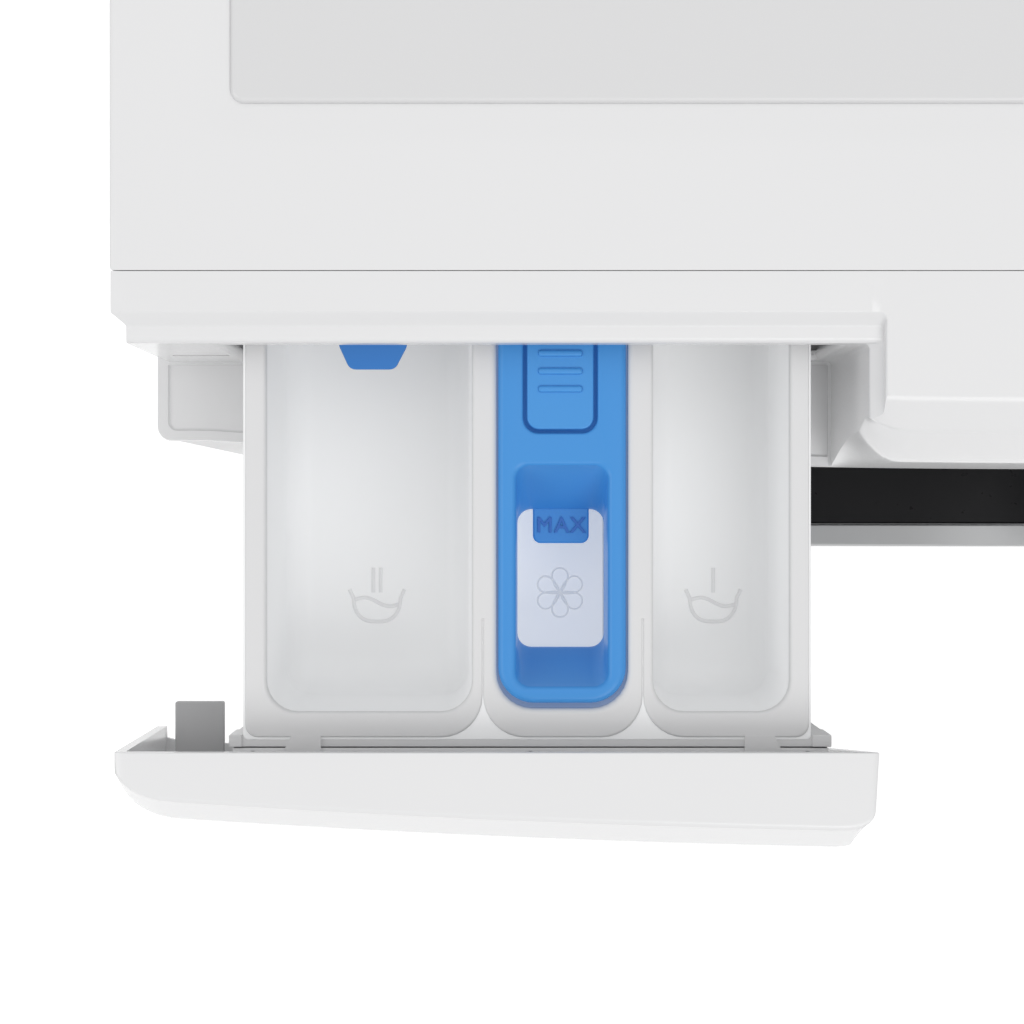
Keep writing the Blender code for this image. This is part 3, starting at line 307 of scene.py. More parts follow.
def inset_plan(low, high, inset, radii, steps=6):
    """A box's outline from above, drawn in on every side."""
    return round_rect(low.x + inset, low.y + inset, high.x - inset, high.y - inset, radii, steps)


def inset_front(low, high, inset, radii, steps=6):
    """A box's outline from the front, drawn in on every side."""
    return round_rect(low.x + inset, low.z + inset, high.x - inset, high.z - inset, radii, steps)


def front_centre(node):
    """The middle of a node as seen from the front."""
    low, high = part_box(node)
    return (low.x + high.x) / 2, (low.z + high.z) / 2


def bow(x):
    """How far the bowed front lies behind its foremost line."""
    depth = FASCIA_RADIUS - math.sqrt(FASCIA_RADIUS**2 - x * x)
    into_end = abs(x) - (HALF - END_ROUND_X)
    if into_end > 0:
        share = min(into_end / END_ROUND_X, 0.9999)
        depth += END_ROUND_Y * (1 - math.sqrt(1 - share * share))
    return depth


def spread(first, last, count):
    return [first + (last - first) * i / (count - 1) for i in range(count)]


def fill_between(bm, outer, holes):
    """Fill a flat face between an outer ring of vertices and rings of holes."""
    edges = []
    for ring in (outer, *holes):
        for a, b in zip(ring, ring[1:] + ring[:1]):
            edges.append(bm.edges.get((a, b)) or bm.edges.new((a, b)))
    bmesh.ops.triangle_fill(bm, use_beauty=True, use_dissolve=False, edges=edges)


# ---------------------------------------------------------------- materials


def new_material(name):
    made = bpy.data.materials.new(name)
    made.use_nodes = True
    return made, made.node_tree.nodes, made.node_tree.links


def noise(nodes, links, point, scale, detail=2.0):
    """A noise texture read at a point."""
    made = nodes.new("ShaderNodeTexNoise")
    made.inputs["Scale"].default_value = scale
    made.inputs["Detail"].default_value = detail
    links.new(point, made.inputs["Vector"])
    return made.outputs["Fac"]


def blend_colours(nodes, links, shader, share, first, second):
    """Set the base colour between two colours by a share."""
    tint = nodes.new("ShaderNodeMix")
    tint.data_type = "RGBA"
    tint.inputs["A"].default_value = (*first, 1.0)
    tint.inputs["B"].default_value = (*second, 1.0)
    links.new(share, tint.inputs["Factor"])
    links.new(tint.outputs["Result"], shader.inputs["Base Color"])


def vary_roughness(nodes, links, shader, source, low, high):
    """Let a source change the roughness between two values."""
    rough = nodes.new("ShaderNodeMapRange")
    rough.inputs["To Min"].default_value = low
    rough.inputs["To Max"].default_value = high
    links.new(source, rough.inputs["Value"])
    links.new(rough.outputs["Result"], shader.inputs["Roughness"])


def add_relief(nodes, links, shader, source, strength, distance):
    """Let a source raise fine relief on the surface."""
    relief = nodes.new("ShaderNodeBump")
    relief.inputs["Strength"].default_value = strength
    relief.inputs["Distance"].default_value = distance
    links.new(source, relief.inputs["Height"])
    links.new(relief.outputs["Normal"], shader.inputs["Normal"])


def stretched_place(nodes, links, scale):
    """Object coordinates, stretched along each axis."""
    place = nodes.new("ShaderNodeTexCoord")
    made = nodes.new("ShaderNodeMapping")
    made.inputs["Scale"].default_value = scale
    links.new(place.outputs["Object"], made.inputs["Vector"])
    return made.outputs["Vector"]


def surface(name, colour, roughness=0.4, metallic=0.0, grain=900.0, bump=0.05, variation=0.03,
            rough_change=0.06, coat=0.0, stretch=(1, 1, 1), glow=0.0, gloss=0.5):
    """A moulded or painted surface: fine grain in its bump, roughness and colour."""
    made, nodes, links = new_material(name)
    shader = nodes["Principled BSDF"]
    shader.inputs["Metallic"].default_value = metallic
    shader.inputs["Coat Weight"].default_value = coat
    shader.inputs["Specular IOR Level"].default_value = gloss
    # painted light: an emission in the surface's own colour makes it brighter, as if more light fell on it
    if glow:
        shader.inputs["Emission Color"].default_value = (*colour, 1.0)
        shader.inputs["Emission Strength"].default_value = glow
    point = stretched_place(nodes, links, stretch)
    fine = noise(nodes, links, point, grain, 3.0)
    broad = noise(nodes, links, point, 9.0)
    dark = [channel * (1 - variation) for channel in colour]
    light = [min(channel * (1 + variation), 1.0) for channel in colour]
    blend_colours(nodes, links, shader, broad, dark, light)
    smoothest, roughest = max(roughness - rough_change, 0.02), min(roughness + rough_change, 1.0)
    vary_roughness(nodes, links, shader, fine, smoothest, roughest)
    add_relief(nodes, links, shader, fine, bump, 0.0002)
    return made


def white(name, colour, roughness, grain=1800, bump=0.05, **more):
    """A white moulding or enamel, with hardly any change of tone."""
    return surface(name, colour, roughness, grain=grain, bump=bump, variation=0.006, **more)


def blue(name, colour, roughness=0.34, **more):
    """A satin blue moulding."""
    return surface(name, colour, roughness, grain=2000, bump=0.05, variation=0.015, **more)


def glass_material(name, tint, roughness=0.03):
    """Clear glass with a faint wave in it."""
    made, nodes, links = new_material(name)
    shader = nodes["Principled BSDF"]
    shader.inputs["Base Color"].default_value = (*tint, 1.0)
    shader.inputs["Transmission Weight"].default_value = 1.0
    shader.inputs["IOR"].default_value = 1.45
    wave = noise(nodes, links, stretched_place(nodes, links, (1, 1, 1)), 22.0)
    vary_roughness(nodes, links, shader, wave, roughness * 0.6, roughness * 1.6)
    add_relief(nodes, links, shader, wave, 0.05, 0.001)
    return made


WHITE_SHELL = white("white_shell", (0.76, 0.76, 0.765), 0.20, 1500, 0.01, gloss=0.32)
WHITE_LAMINATE = white("white_laminate", (0.68, 0.68, 0.685), 0.38, 2200, 0.10)
WHITE_ENAMEL = white("white_enamel", (0.72, 0.72, 0.725), 0.36, 420, gloss=0.2)
WHITE_TRAY = white("white_tray", (0.70, 0.70, 0.705), 0.42, gloss=0.3)
# painted light: a lighter, glowing copy of the tray's white, so the tray body and its deep pockets look
# brighter
WHITE_POCKET_PAINTED_LIGHT = white("white_pocket_painted_light", (0.78, 0.785, 0.79), 0.42, glow=0.15)
# painted light: a strongly glowing white for the sheet on the softener pocket's floor, which lies in shade
SOFTENER_FLOOR_PAINTED_LIGHT = white("white_floor_painted_light", (0.78, 0.78, 0.785), 0.45, glow=0.42)
WHITE_HATCH = white("white_hatch", (0.76, 0.76, 0.765), 0.34, 1500, 0.04)
# painted light: the marks' whites glow a little in their own colour, the flower mark most, so they stay
# bright on the shaded compartment floors
WHITE_MARK = white("white_mark", (0.70, 0.70, 0.71), 0.40, bump=0.03, glow=0.12)
FLOWER_MARK = white("flower_mark", (0.70, 0.705, 0.715), 0.40, bump=0.03, glow=0.32)
ARM_GREY = surface("arm_grey", (0.40, 0.40, 0.405), 0.45, grain=1200, bump=0.06)
HOUSING_GREY = surface("housing_grey", (0.50, 0.50, 0.51), 0.55, grain=700, bump=0.08)
# painted light: the siphon insert's and the tabs' blues glow a little in their own colour, brightening them
BLUE_SATIN = blue("blue_satin", (0.050, 0.235, 0.56), glow=0.2, gloss=0.3)
BLUE_TAB = blue("blue_tab", (0.055, 0.245, 0.57), glow=0.2, gloss=0.3)
BLUE_MARK = blue("blue_mark", (0.030, 0.17, 0.52), 0.40)
BLUE_FLAP = blue("blue_flap", (0.035, 0.19, 0.55), 0.40, gloss=0.3)
BLACK_GLOSS = surface("black_gloss", (0.006, 0.006, 0.007), 0.30, grain=300, bump=0.004, gloss=0.2)
BLACK_WINDOW = surface("black_window", (0.006, 0.006, 0.008), 0.08, grain=200, bump=0.01, coat=0.5)
SATIN_CHROME = surface("satin_chrome", (0.46, 0.465, 0.47), 0.30, 1.0, 500, 0.004, rough_change=0.03)
SILVER = surface("silver_plastic", (0.52, 0.525, 0.53), 0.30, 0.75, grain=1200, bump=0.05)
GALVANISED = surface("galvanised_sheet", (0.56, 0.57, 0.58), 0.42, 0.85, grain=60, bump=0.12, variation=0.10)
DARK_PLASTIC = surface("dark_plastic", (0.035, 0.035, 0.038), 0.55, grain=900, bump=0.15)
GREY_PLASTIC = surface("grey_plastic", (0.36, 0.365, 0.37), 0.50, grain=900, bump=0.10)
LIGHT_GREY = surface("light_grey_plastic", (0.55, 0.555, 0.56), 0.42, grain=1100, bump=0.06)
TUB_PLASTIC = surface("tub_plastic", (0.46, 0.46, 0.45), 0.6, grain=300, bump=0.15, variation=0.05)
CONCRETE = surface("concrete", (0.40, 0.39, 0.37), 0.9, grain=160, bump=0.8, variation=0.15)
STEEL = surface("turned_steel", (0.60, 0.61, 0.62), 0.25, 1.0, grain=400, bump=0.08, stretch=(1, 8, 1))
SPRING_STEEL = surface("spring_steel", (0.45, 0.46, 0.47), 0.35, 1.0, grain=600, bump=0.10)
CAST_METAL = surface("cast_metal", (0.50, 0.51, 0.52), 0.5, 0.9, grain=350, bump=0.35, variation=0.06)
MOTOR_STEEL = surface("motor_steel", (0.20, 0.205, 0.21), 0.5, 0.7, grain=250, bump=0.2, variation=0.08)
RUBBER_GREY = surface("seal_rubber", (0.33, 0.335, 0.34), 0.62, grain=1300, bump=0.12)
RUBBER_BLACK = surface("black_rubber", (0.025, 0.025, 0.027), 0.75, grain=1300, bump=0.2)
BOARD_GREEN = surface("circuit_board", (0.02, 0.14, 0.06), 0.5, grain=500, bump=0.2, variation=0.2)
READOUT = surface("readout", (0.55, 0.60, 0.62), 0.4, grain=600, bump=0.02)
DOOR_GLASS = glass_material("door_glass", (0.90, 0.93, 0.94))


# ---------------------------------------------------------------- worktop


def make_worktop():
    """The moulded frame with a shallow dish around its raised board."""
    front, back, bottom = FRONT_Y + FASCIA_BACK + 0.0002, FRAME_HIGH.y, FRAME_LOW.z
    tuck, edge, skirt = 0.0002, 0.0012, 0.0070

    def outer(shrink, z):
        radii = [max(0.0012 - shrink, 0.0003)] * 2 + [max(0.012 - shrink, 0.0005)] * 2
        outline = round_rect(-HALF + shrink, front + shrink * 0.08, HALF - shrink, back - shrink, radii)
        return in_plan(outline, z)

    def inner(grow, drop):
        outline = inset_plan(BOARD_LOW, BOARD_HIGH, tuck - grow, [0.004 + grow] * 4)
        return in_plan(outline, TOP_Z - drop)

    rings = [inner(0, skirt), inner(0, 0.0010), inner(0.0004, 0.0007), inner(0.0020, 0.0006)]
    rings += [inner(0.0060, 0.0004), inner(0.0100, 0.00005), inner(0.0130, 0)]
    rings += [outer(inset, TOP_Z - drop) for inset, drop in round_edge(edge, 4)]
    rings += [outer(0, bottom + 0.0006), outer(0.0006, bottom)]
    rings += [outer(0.0060, bottom), outer(0.0060, TOP_Z - skirt)]
    bm = bmesh.new()
    add_loft(bm, rings + [rings[0]], cap_first=False, cap_last=False)
    bmesh.ops.remove_doubles(bm, verts=bm.verts, dist=1e-6)
    piece("worktop_surround", bm, "cabinet", ["worktop_frame"], WHITE_SHELL, sharp=60)


def make_board():
    """The raised laminate board with a round upper edge."""
    top, edge = BOARD_HIGH.z, 0.0016
    heights = [(0.0, BOARD_LOW.z)]
    heights += [(shrink, top - drop) for drop, shrink in round_edge(edge, 4)]
    rings = []
    for shrink, z in heights:
        rings.append(in_plan(inset_plan(BOARD_LOW, BOARD_HIGH, shrink, [0.004 - shrink] * 4), z))
    bm = bmesh.new()
    add_loft(bm, rings)
    piece("worktop_inlay", bm, "cabinet", ["worktop_board"], WHITE_LAMINATE, sharp=60)


# ---------------------------------------------------------------- control panel


def fascia_profile():
    """Section of the fascia as (y, z), with round creases."""
    corners = [
        (FASCIA_BACK, 0.0, 0.0),
        (0.0186, 0.0, 0.0050),
        (0.0091, -0.0080, 0.0040),
        (0.0006, -0.0320, 0.030),
        (0.0, -FASCIA_HEIGHT, 0.0012),
        (FASCIA_BACK, -FASCIA_HEIGHT, 0.0),
    ]
    outline = fillet([(y, z) for y, z, _ in corners], [r for _, _, r in corners], steps=6)
    section = []
    for (y, z), (next_y, next_z) in zip(outline, outline[1:] + outline[:1]):
        steps = 1 + int(abs(next_z - z) / 0.006) if y < 0.03 else 1
        for k in range(steps):
            section.append((y + (next_y - y) * k / steps, z + (next_z - z) * k / steps))
    return section


def end_scoop(x, z):
    """How far the fascia curves back towards the recess, most in the middle of its height."""
    share = (x - RECESS_RIGHT) / SCOOP_WIDTH
    if share >= 1 or z >= 0:
        return 0.0
    near = 1.0 - max(share, 0.0)
    if z > SCOOP_LEVEL:
        level = math.sin(math.pi / 2 * z / SCOOP_LEVEL)
    else:
        level = math.cos(math.pi / 2 * min((SCOOP_LEVEL - z) / (RECESS_FLOOR + SCOOP_LEVEL), 1.0))
    return SCOOP_DEPTH * level * near**2


def fascia_line(x):
    """How far the fascia lies back at x: bowed, with a tighter corner at its left end."""
    into_left = -x - (HALF - 0.0004 - LEDGE_CORNER)
    if into_left > 0:
        share = min(into_left / LEDGE_CORNER, 0.9999)
        return bow(HALF - END_ROUND_X) + LEDGE_CORNER * (1 - math.sqrt(1 - share * share))
    return bow(max(x, END_ROUND_X - HALF))


def make_fascia():
    """The bowed fascia in one moulding, with the drawer's recess and its ledge cut in."""
    left, right = -HALF + 0.0004, HALF - 0.0004
    shares = (0.0, 0.2, 0.38, 0.54, 0.68, 0.80, 0.89, 0.95, 0.985, 1.0)
    places = [left + LEDGE_CORNER * (1 - share) for share in reversed(shares)]
    places += spread(left + END_ROUND_X, RECESS_RIGHT - 0.001, 12)
    crowded = (0.0, 0.03, 0.08, 0.15, 0.25, 0.4, 0.6, 0.8, 1.0)
    places += [RECESS_RIGHT + SCOOP_WIDTH * share for share in crowded]
    places += spread(RECESS_RIGHT + SCOOP_WIDTH + 0.008, right - END_ROUND_X - 0.002, 44)
    places += [right - END_ROUND_X * (1 - share) for share in shares]
    rings = []
    for x in places:
        shift = fascia_line(x)
        ring = []
        for y, z in fascia_profile():
            follow = 1.0 if y < 0.024 else max(0.0, (0.0400 - y) / 0.0160)
            back = y + shift * follow
            if y < 0.024:
                back += end_scoop(x, z)
            ring.append((x, FRONT_Y + back, TOP_Z + z))
        rings.append(ring)
    bm = bmesh.new()
    add_loft(bm, rings)
    item = piece("fascia", bm, "cabinet", ["control_panel"], WHITE_SHELL, sharp=50)
    carve(item, recess_tool())
    carve(item, lip_corner_tool())
    carve(item, arm_slot_tool())
    holes = bmesh.new()
    add_mouth(holes)
    add_ledge_pan(holes)
    add_control_holes(holes)
    carve(item, holes)


def recess_tool():
    """The space over the ledge: upright walls, then a step and a sloped band up to the top."""
    levels = [
        (-RECESS_FLOOR, RECESS_BACK - 0.0008, -0.0008, 0.0010),
        (-RECESS_FLOOR + 0.0008, RECESS_BACK, 0.0, 0.0014),
        (-0.0088, RECESS_BACK, 0.0, 0.0014),
        (-0.0081, RECESS_BACK, 0.0004, 0.0014),
        (-0.0056, RECESS_BACK, 0.0028, 0.0014),
        (-0.0047, RECESS_BACK + 0.0003, 0.0036, 0.0014),
        (-0.0041, RECESS_BACK + 0.0010, BEVEL, 0.0012),
        (-LIP_DROP, RECESS_BACK + 0.0019, BEVEL, 0.0010),
        (-LIP_DROP, STEP_BACK - 0.0006, BEVEL, 0.0010),
        (-LIP_DROP + 0.0004, STEP_BACK, BEVEL, 0.0012),
        (-0.0020, STEP_BACK + 0.0016, BEVEL, 0.0014),
        (-0.0005, STEP_BACK + 0.0031, BEVEL + 0.0001, 0.0020),
        (-0.0001, STEP_BACK + 0.0036, BEVEL + 0.0005, 0.0024),
        (0.0010, STEP_BACK + 0.0062, BEVEL + 0.0030, 0.0040),
    ]
    rings = []
    for z, back, out, corner in levels:
        right, back = RECESS_RIGHT + out, FRONT_Y + back
        ring = [(-HALF - 0.01, FRONT_Y - 0.03), (right, FRONT_Y - 0.03)]
        ring += [(right - aside, back - short) for short, aside in round_edge(corner, 6)]
        ring.append((-HALF - 0.01, back))
        rings.append(in_plan(ring, TOP_Z + z))
    tool = bmesh.new()
    add_loft(tool, rings)
    return tool


def lip_corner_tool():
    """Sets the lip's left end back from the side, with a slanted corner behind it."""
    outline = [
        (-HALF - 0.01, FRONT_Y - 0.03),
        (LIP_LEFT, FRONT_Y - 0.03),
        (LIP_LEFT, FRONT_Y + 0.0406),
        (LIP_LEFT - 0.0003, FRONT_Y + 0.0412),
        (-HALF + 0.0003, FRONT_Y + 0.0445),
        (-HALF - 0.01, FRONT_Y + 0.0445),
    ]
    tool = bmesh.new()
    low, high = TOP_Z - RECESS_FLOOR, TOP_Z + 0.01
    add_loft(tool, [in_plan(outline, z) for z in (low, high)])
    return tool


def add_mouth(tool):
    """The drawer's way in, with flared edges, and the room behind it."""
    outline = round_rect(MOUTH[0], TOP_Z - MOUTH[3], MOUTH[1], TOP_Z - MOUTH[2], [0.003] * 4)
    near, far = FRONT_Y + RECESS_BACK, FRONT_Y + FASCIA_BACK + 0.004
    cx, cz = (MOUTH[0] + MOUTH[1]) / 2, TOP_Z - (MOUTH[2] + MOUTH[3]) / 2
    flare, wide, wall = 0.0016, 0.0052, 0.0030
    rings = []
    for y, grow in (
        (near - 0.004, flare), (near, flare), (near + 0.0005, flare * 0.45), (near + flare, 0.0),
        (near + wall, 0.0), (near + wall, wide), (far, wide),
    ):
        ring = []
        for x, z in outline:
            ring.append((x + math.copysign(grow, x - cx), y, z + math.copysign(grow, z - cz)))
        rings.append(ring)
    add_loft(tool, rings)


def arm_slot_tool():
    tool = bmesh.new()
    low = (ARM_LEFT - 0.0010, FRONT_Y + RECESS_BACK - 0.004, TOP_Z - ARM_BOTTOM - 0.0010)
    high = (ARM_RIGHT + 0.0010, FRONT_Y + FASCIA_BACK + 0.004, TOP_Z - ARM_TOP + 0.0010)
    add_box(tool, low, high, 0)
    return tool


def add_ledge_pan(tool):
    """The ledge's shallow pan inside a low rim that follows the bowed front."""
    top = TOP_Z - RECESS_FLOOR
    left, right = -HALF + 0.0004, RECESS_RIGHT - 0.0010
    back = FRONT_Y + RECESS_BACK - 0.0010
    rings = []
    for inset, drop in ((0.0030, -0.0010), (0.0034, 0.0), (0.0038, 0.0006), (0.0044, 0.0009)):
        corner = LEDGE_CORNER - inset * 0.45
        start, near = left + inset, FRONT_Y + fascia_line(left + END_ROUND_X) + inset
        ring = [(start + aside, near + ahead) for ahead, aside in round_edge(corner, 6)]
        for x in spread(start + corner + 0.004, right, 30):
            ring.append((x, FRONT_Y + fascia_line(x) + inset))
        ring += [(right, back), (start, back)]
        rings.append(in_plan(ring, top - drop))
    add_loft(tool, rings)


def add_control_holes(tool):
    """Holes for the knob's shaft, the two buttons and the display window."""
    low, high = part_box("option_button")
    reach, clear = 0.012, 0.0006
    near, far = FRONT_Y - reach, FRONT_Y + 2 * reach
    add_cylinder(tool, front_centre("program_knob"), near, FRONT_Y + reach, 0.0066)
    add_cylinder(tool, front_centre("start_button"), near, far, 0.0117)
    add_box(tool, (low.x - clear, near, low.z - clear), (high.x + clear, far, high.z + clear), 0)
    low_z, high_z = WINDOW_LOW.z - clear, WINDOW_HIGH.z + clear
    rings = []
    for x in spread(WINDOW_LOW.x - clear, WINDOW_HIGH.x + clear, 16):
        y0, y1 = FRONT_Y + bow(x) - reach, FRONT_Y + bow(x) + 0.0022
        rings.append([(x, y0, low_z), (x, y1, low_z), (x, y1, high_z), (x, y0, high_z)])
    add_loft(tool, rings)


def add_cylinder(bm, centre, near, far, radius, sides=48):
    profile = [(0.0, near), (radius, near), (radius, far), (0.0, far)]
    add_turned(bm, profile, centre[0], centre[1], sides)


def carve(item, tool_bm):
    """Cut a piece with a bmesh tool, apply the cut, and mark the sharp edges again."""
    bmesh.ops.recalc_face_normals(tool_bm, faces=tool_bm.faces)
    mesh = bpy.data.meshes.new("tool")
    tool_bm.to_mesh(mesh)
    tool_bm.free()
    tool = bpy.data.objects.new("tool", mesh)
    bpy.context.scene.collection.objects.link(tool)
    boolean = item.modifiers.new("carve", "BOOLEAN")
    boolean.operation = "DIFFERENCE"
    boolean.object = tool
    boolean.solver = "EXACT"
    while item.modifiers[0] != boolean:
        item.modifiers.move(item.modifiers.find("carve"), 0)
    bpy.context.view_layer.update()
    saved = [m for m in item.modifiers if m != boolean]
    for modifier in saved:
        modifier.show_viewport = False
    graph = bpy.context.evaluated_depsgraph_get()
    cut = bpy.data.meshes.new_from_object(item.evaluated_get(graph))
    item.modifiers.remove(boolean)
    for modifier in saved:
        modifier.show_viewport = True
    bm = bmesh.new()
    bm.from_mesh(cut)
    bpy.data.meshes.remove(cut)
    bmesh.ops.remove_doubles(bm, verts=bm.verts, dist=2e-6)
    shade(bm, 38)
    bm.to_mesh(item.data)
    bm.free()
    bpy.data.objects.remove(tool, do_unlink=True)
    bpy.data.meshes.remove(mesh)


def make_housing():
    """The dispenser housing behind the mouth, with guide ribs along its sides."""
    low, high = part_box("dispenser_housing")
    wall = 0.0025
    bm = bmesh.new()
    floor, roof = low.z + wall, high.z - wall - 0.0005
    left, right = low.x + wall, high.x - wall
    back = high.y - wall
    for a, b in (
        ((low.x, low.y, low.z), (high.x, high.y, floor)),
        ((low.x, low.y, roof), (high.x, high.y, high.z)),
        ((low.x, low.y, floor), (left, high.y, roof)),
        ((right, low.y, floor), (high.x, high.y, roof)),
        ((left, back, floor), (right, high.y, roof)),
    ):
        add_box(bm, a, b, 0)
    for x, side in ((left, 1), (right, -1)):
        for z in (floor + 0.020, floor + 0.052):
            ends = sorted((x, x + side * 0.0030))
            add_box(bm, (ends[0], low.y + 0.004, z), (ends[1], back, z + 0.0020), 0.0005)
    piece("dispenser_case", bm, "cabinet", ["dispenser_housing"], HOUSING_GREY)


# ---------------------------------------------------------------- drawer


def drawer_line(x):
    """The bow of the drawer front, with its inner end rounded in plan."""
    depth = bow(x)
    into_end = x - (DRAWER_HIGH.x - 0.0115)
    if into_end > 0:
        share = min(into_end / 0.0115, 0.9999)
        depth += 0.0045 * (1 - math.sqrt(1 - share * share))
    return depth


def drawer_section(bottom, back, foot):
    """Outer front profile, from the back edge of the top to the bottom, which ends at foot."""
    corners = [
        (back, -0.0050, 0.0006),
        (0.0092, -0.0058, 0.0022),
        (0.0010, -0.0300, 0.0220),
        (0.0, -0.0600, 0.0200),
        (0.0, bottom, 0.0030),
        (foot, bottom, 0.0006),
    ]
    return fillet([(y, z) for y, z, _ in corners], [r for _, _, r in corners], steps=5)


def make_drawer_front():
    """The bowed drawer front: a shell open at the back, with the guide arm."""
    left, right = DRAWER_LOW.x + 0.0003, DRAWER_HIGH.x
    back, bottom, wall = 0.0331, -0.1030, 0.0030
    end_round = 0.010
    shares = (0.0, 0.06, 0.16, 0.30, 0.46, 0.62, 0.80, 1.0)
    places = [left + END_ROUND_X * share for share in shares] + [left + wall, left + wall + 0.0002]
    places = sorted(places) + spread(left + 0.026, right - 0.014, 26)
    places += [right - end_round * (1 - share) for share in (0.0, 0.25, 0.48, 0.68, 0.84, 0.94, 0.985, 1.0)]
    outer, inner = [], []
    for x in places:
        shift = drawer_line(x)
        near_end = max(1 - (x - left) / 0.0010, 1 - (right - x) / 0.0010, 0.0)
        trim = near_end * 0.0006
        foot = back if x < left + wall + 0.0001 else DRAWER_FLOOR
        ring = []
        for y, z in drawer_section(bottom, back, foot):
            follow = 1.0 if y < 0.010 else max(0.0, (back - y) / (back - 0.010))
            undercut = 0.0
            if z < -0.0048 and x > right - 0.006:
                undercut = min((-0.0048 - z) / 0.0042, 1.0) * 0.0052 * (1 - (right - x) / 0.006)
            level = z - trim if z > -0.02 else z + trim
            ring.append((x - undercut, DRAWER_Y + y + shift * follow, TOP_Z + level))
        outer.append(ring)
        x_in = min(max(x, left + wall), right - 0.0075)
        ring = []
        for y, z in drawer_section(bottom, back, foot):
            in_y = y + wall * 1.2 if y < foot - 0.001 else y
            in_z = z - wall if z > -0.02 else max(z, bottom + wall)
            follow = 1.0 if y < 0.010 else max(0.0, (back - y) / (back - 0.010))
            ring.append((x_in, DRAWER_Y + min(in_y + shift * follow, back), TOP_Z + in_z))
        inner.append(ring)
    bm = bmesh.new()
    add_open_shell(bm, outer, inner)
    piece("drawer_facing", bm, "drawer", ["drawer_front"], WHITE_SHELL, sharp=42)
    bm = bmesh.new()
    low = (ARM_LEFT, DRAWER_Y + 0.0160, TOP_Z - ARM_BOTTOM)
    add_box(bm, low, (ARM_RIGHT - 0.0004, DRAWER_Y + back + ARM_REACH, TOP_Z - ARM_TOP), 0.0006)
    piece("guide_arm", bm, "drawer", [], ARM_GREY)


def add_open_shell(bm, outer, inner):
    """A shell open at the back: outer and inner skins, joined at the ends and the open rim."""
    skin = [[bm.verts.new(p) for p in ring] for ring in outer]
    lining = [[bm.verts.new(p) for p in ring] for ring in inner]
    count = len(skin[0])
    for rows, flip in ((skin, False), (lining, True)):
        for a, b in zip(rows, rows[1:]):
            for i in range(count - 1):
                quad = (a[i], a[i + 1], b[i + 1], b[i])
                bm.faces.new(quad[::-1] if flip else quad)
    for a, b, c, d in zip(skin, skin[1:], lining, lining[1:]):
        bm.faces.new((a[0], b[0], d[0], c[0]))
        bm.faces.new((a[-1], c[-1], d[-1], b[-1]))
    for rows, liner in ((skin[0], lining[0]), (skin[-1], lining[-1])):
        bm.faces.new(rows)
        bm.faces.new(liner[::-1])
        bm.faces.new((rows[0], liner[0], liner[-1], rows[-1]))


def pocket_ring(pocket, inset, fore, z):
    """The pocket's outline, drawn in at its sides and front by two insets."""
    left, right, front, back, corner = pocket[:5]
    radii = [max(corner - (inset + fore) * 0.25, 0.0022)] * 4
    front, back = TRAY_Y + front + fore, TRAY_Y + back - inset
    return in_plan(round_rect(left + inset, front, right - inset, back, radii, 7), z)


def pocket_lip(pocket):
    """Rings of the round lip, from the rim down to a plain wall."""
    lap = 0.00005
    edge = round_edge(pocket[7], 4)
    rings = [pocket_ring(pocket, lap - out, lap - out, RIM_Z - drop) for out, drop in edge]
    return rings + [pocket_ring(pocket, lap, lap, RIM_Z - RIM_DEPTH)]


def pocket_walls(pocket):
    """Rings of the walls and the round foot, down to the floor."""
    side_round, front_round = pocket[5:7]
    wall = 0.0018
    start, low = RIM_Z - RIM_DEPTH + 0.0003, RIM_Z - TRAY_DEPTH + side_round
    seat = -pocket[7] - 0.0003
    rings = [pocket_ring(pocket, seat, seat, RIM_Z - RELIEF), pocket_ring(pocket, seat, seat, start)]
    rings.append(pocket_ring(pocket, 0.0, 0.0, start))
    for t in (0.1, 0.4, 0.7, 1.0):
        rings.append(pocket_ring(pocket, wall * t, wall * t, start - (start - low) * t))
    for k in range(1, 7):
        angle = math.pi / 2 * k / 6
        side = wall + side_round * (1 - math.cos(angle))
        fore = wall + front_round * (1 - math.cos(angle))
        rings.append(pocket_ring(pocket, side, fore, low - side_round * math.sin(angle)))
    return rings


def plain_ring(inset, z):
    """The tray's outline in plan, with small corners."""
    front, back = TRAY_Y + inset, TRAY_LOW.y + 0.230 - inset
    corner = max(0.0014 - inset, 0.0002)
    return in_plan(round_rect(TRAY_LEFT + inset, front, TRAY_RIGHT - inset, back, [corner] * 4, 4), z)


def relief_ring(inset, z):
    """Outline of the raised rims: three rounded fronts that meet in two narrow grooves."""
    left, right = TRAY_LEFT + 0.0006 + inset, TRAY_RIGHT - 0.0006 - inset
    front, back = TRAY_Y + 0.0008 + inset, TRAY_LOW.y + 0.229 - inset
    half_gap = 0.0001 + inset
    starts = (left, SEAMS[0] + half_gap, SEAMS[1] + half_gap)
    ends = (SEAMS[0] - half_gap, SEAMS[1] - half_gap, right)
    points = [(left, back)]
    for k, (a, b) in enumerate(zip(starts, ends)):
        first = 0.0040 if k == 0 else FRONT_CORNER
        last = 0.0040 if k == 2 else FRONT_CORNER
        if k:
            points.append((a, front + GROOVE_LENGTH - inset))
        for corner, x, start in ((first, a + first, 180), (last, b - last, 270)):
            for i in range(9):
                angle = math.radians(start + 90 * i / 8)
                points.append((x + corner * math.cos(angle), front + corner + corner * math.sin(angle)))
        if k < 2:
            points.append((b, front + GROOVE_LENGTH - inset))
    points.append((right, back))
    return in_plan(points, z)


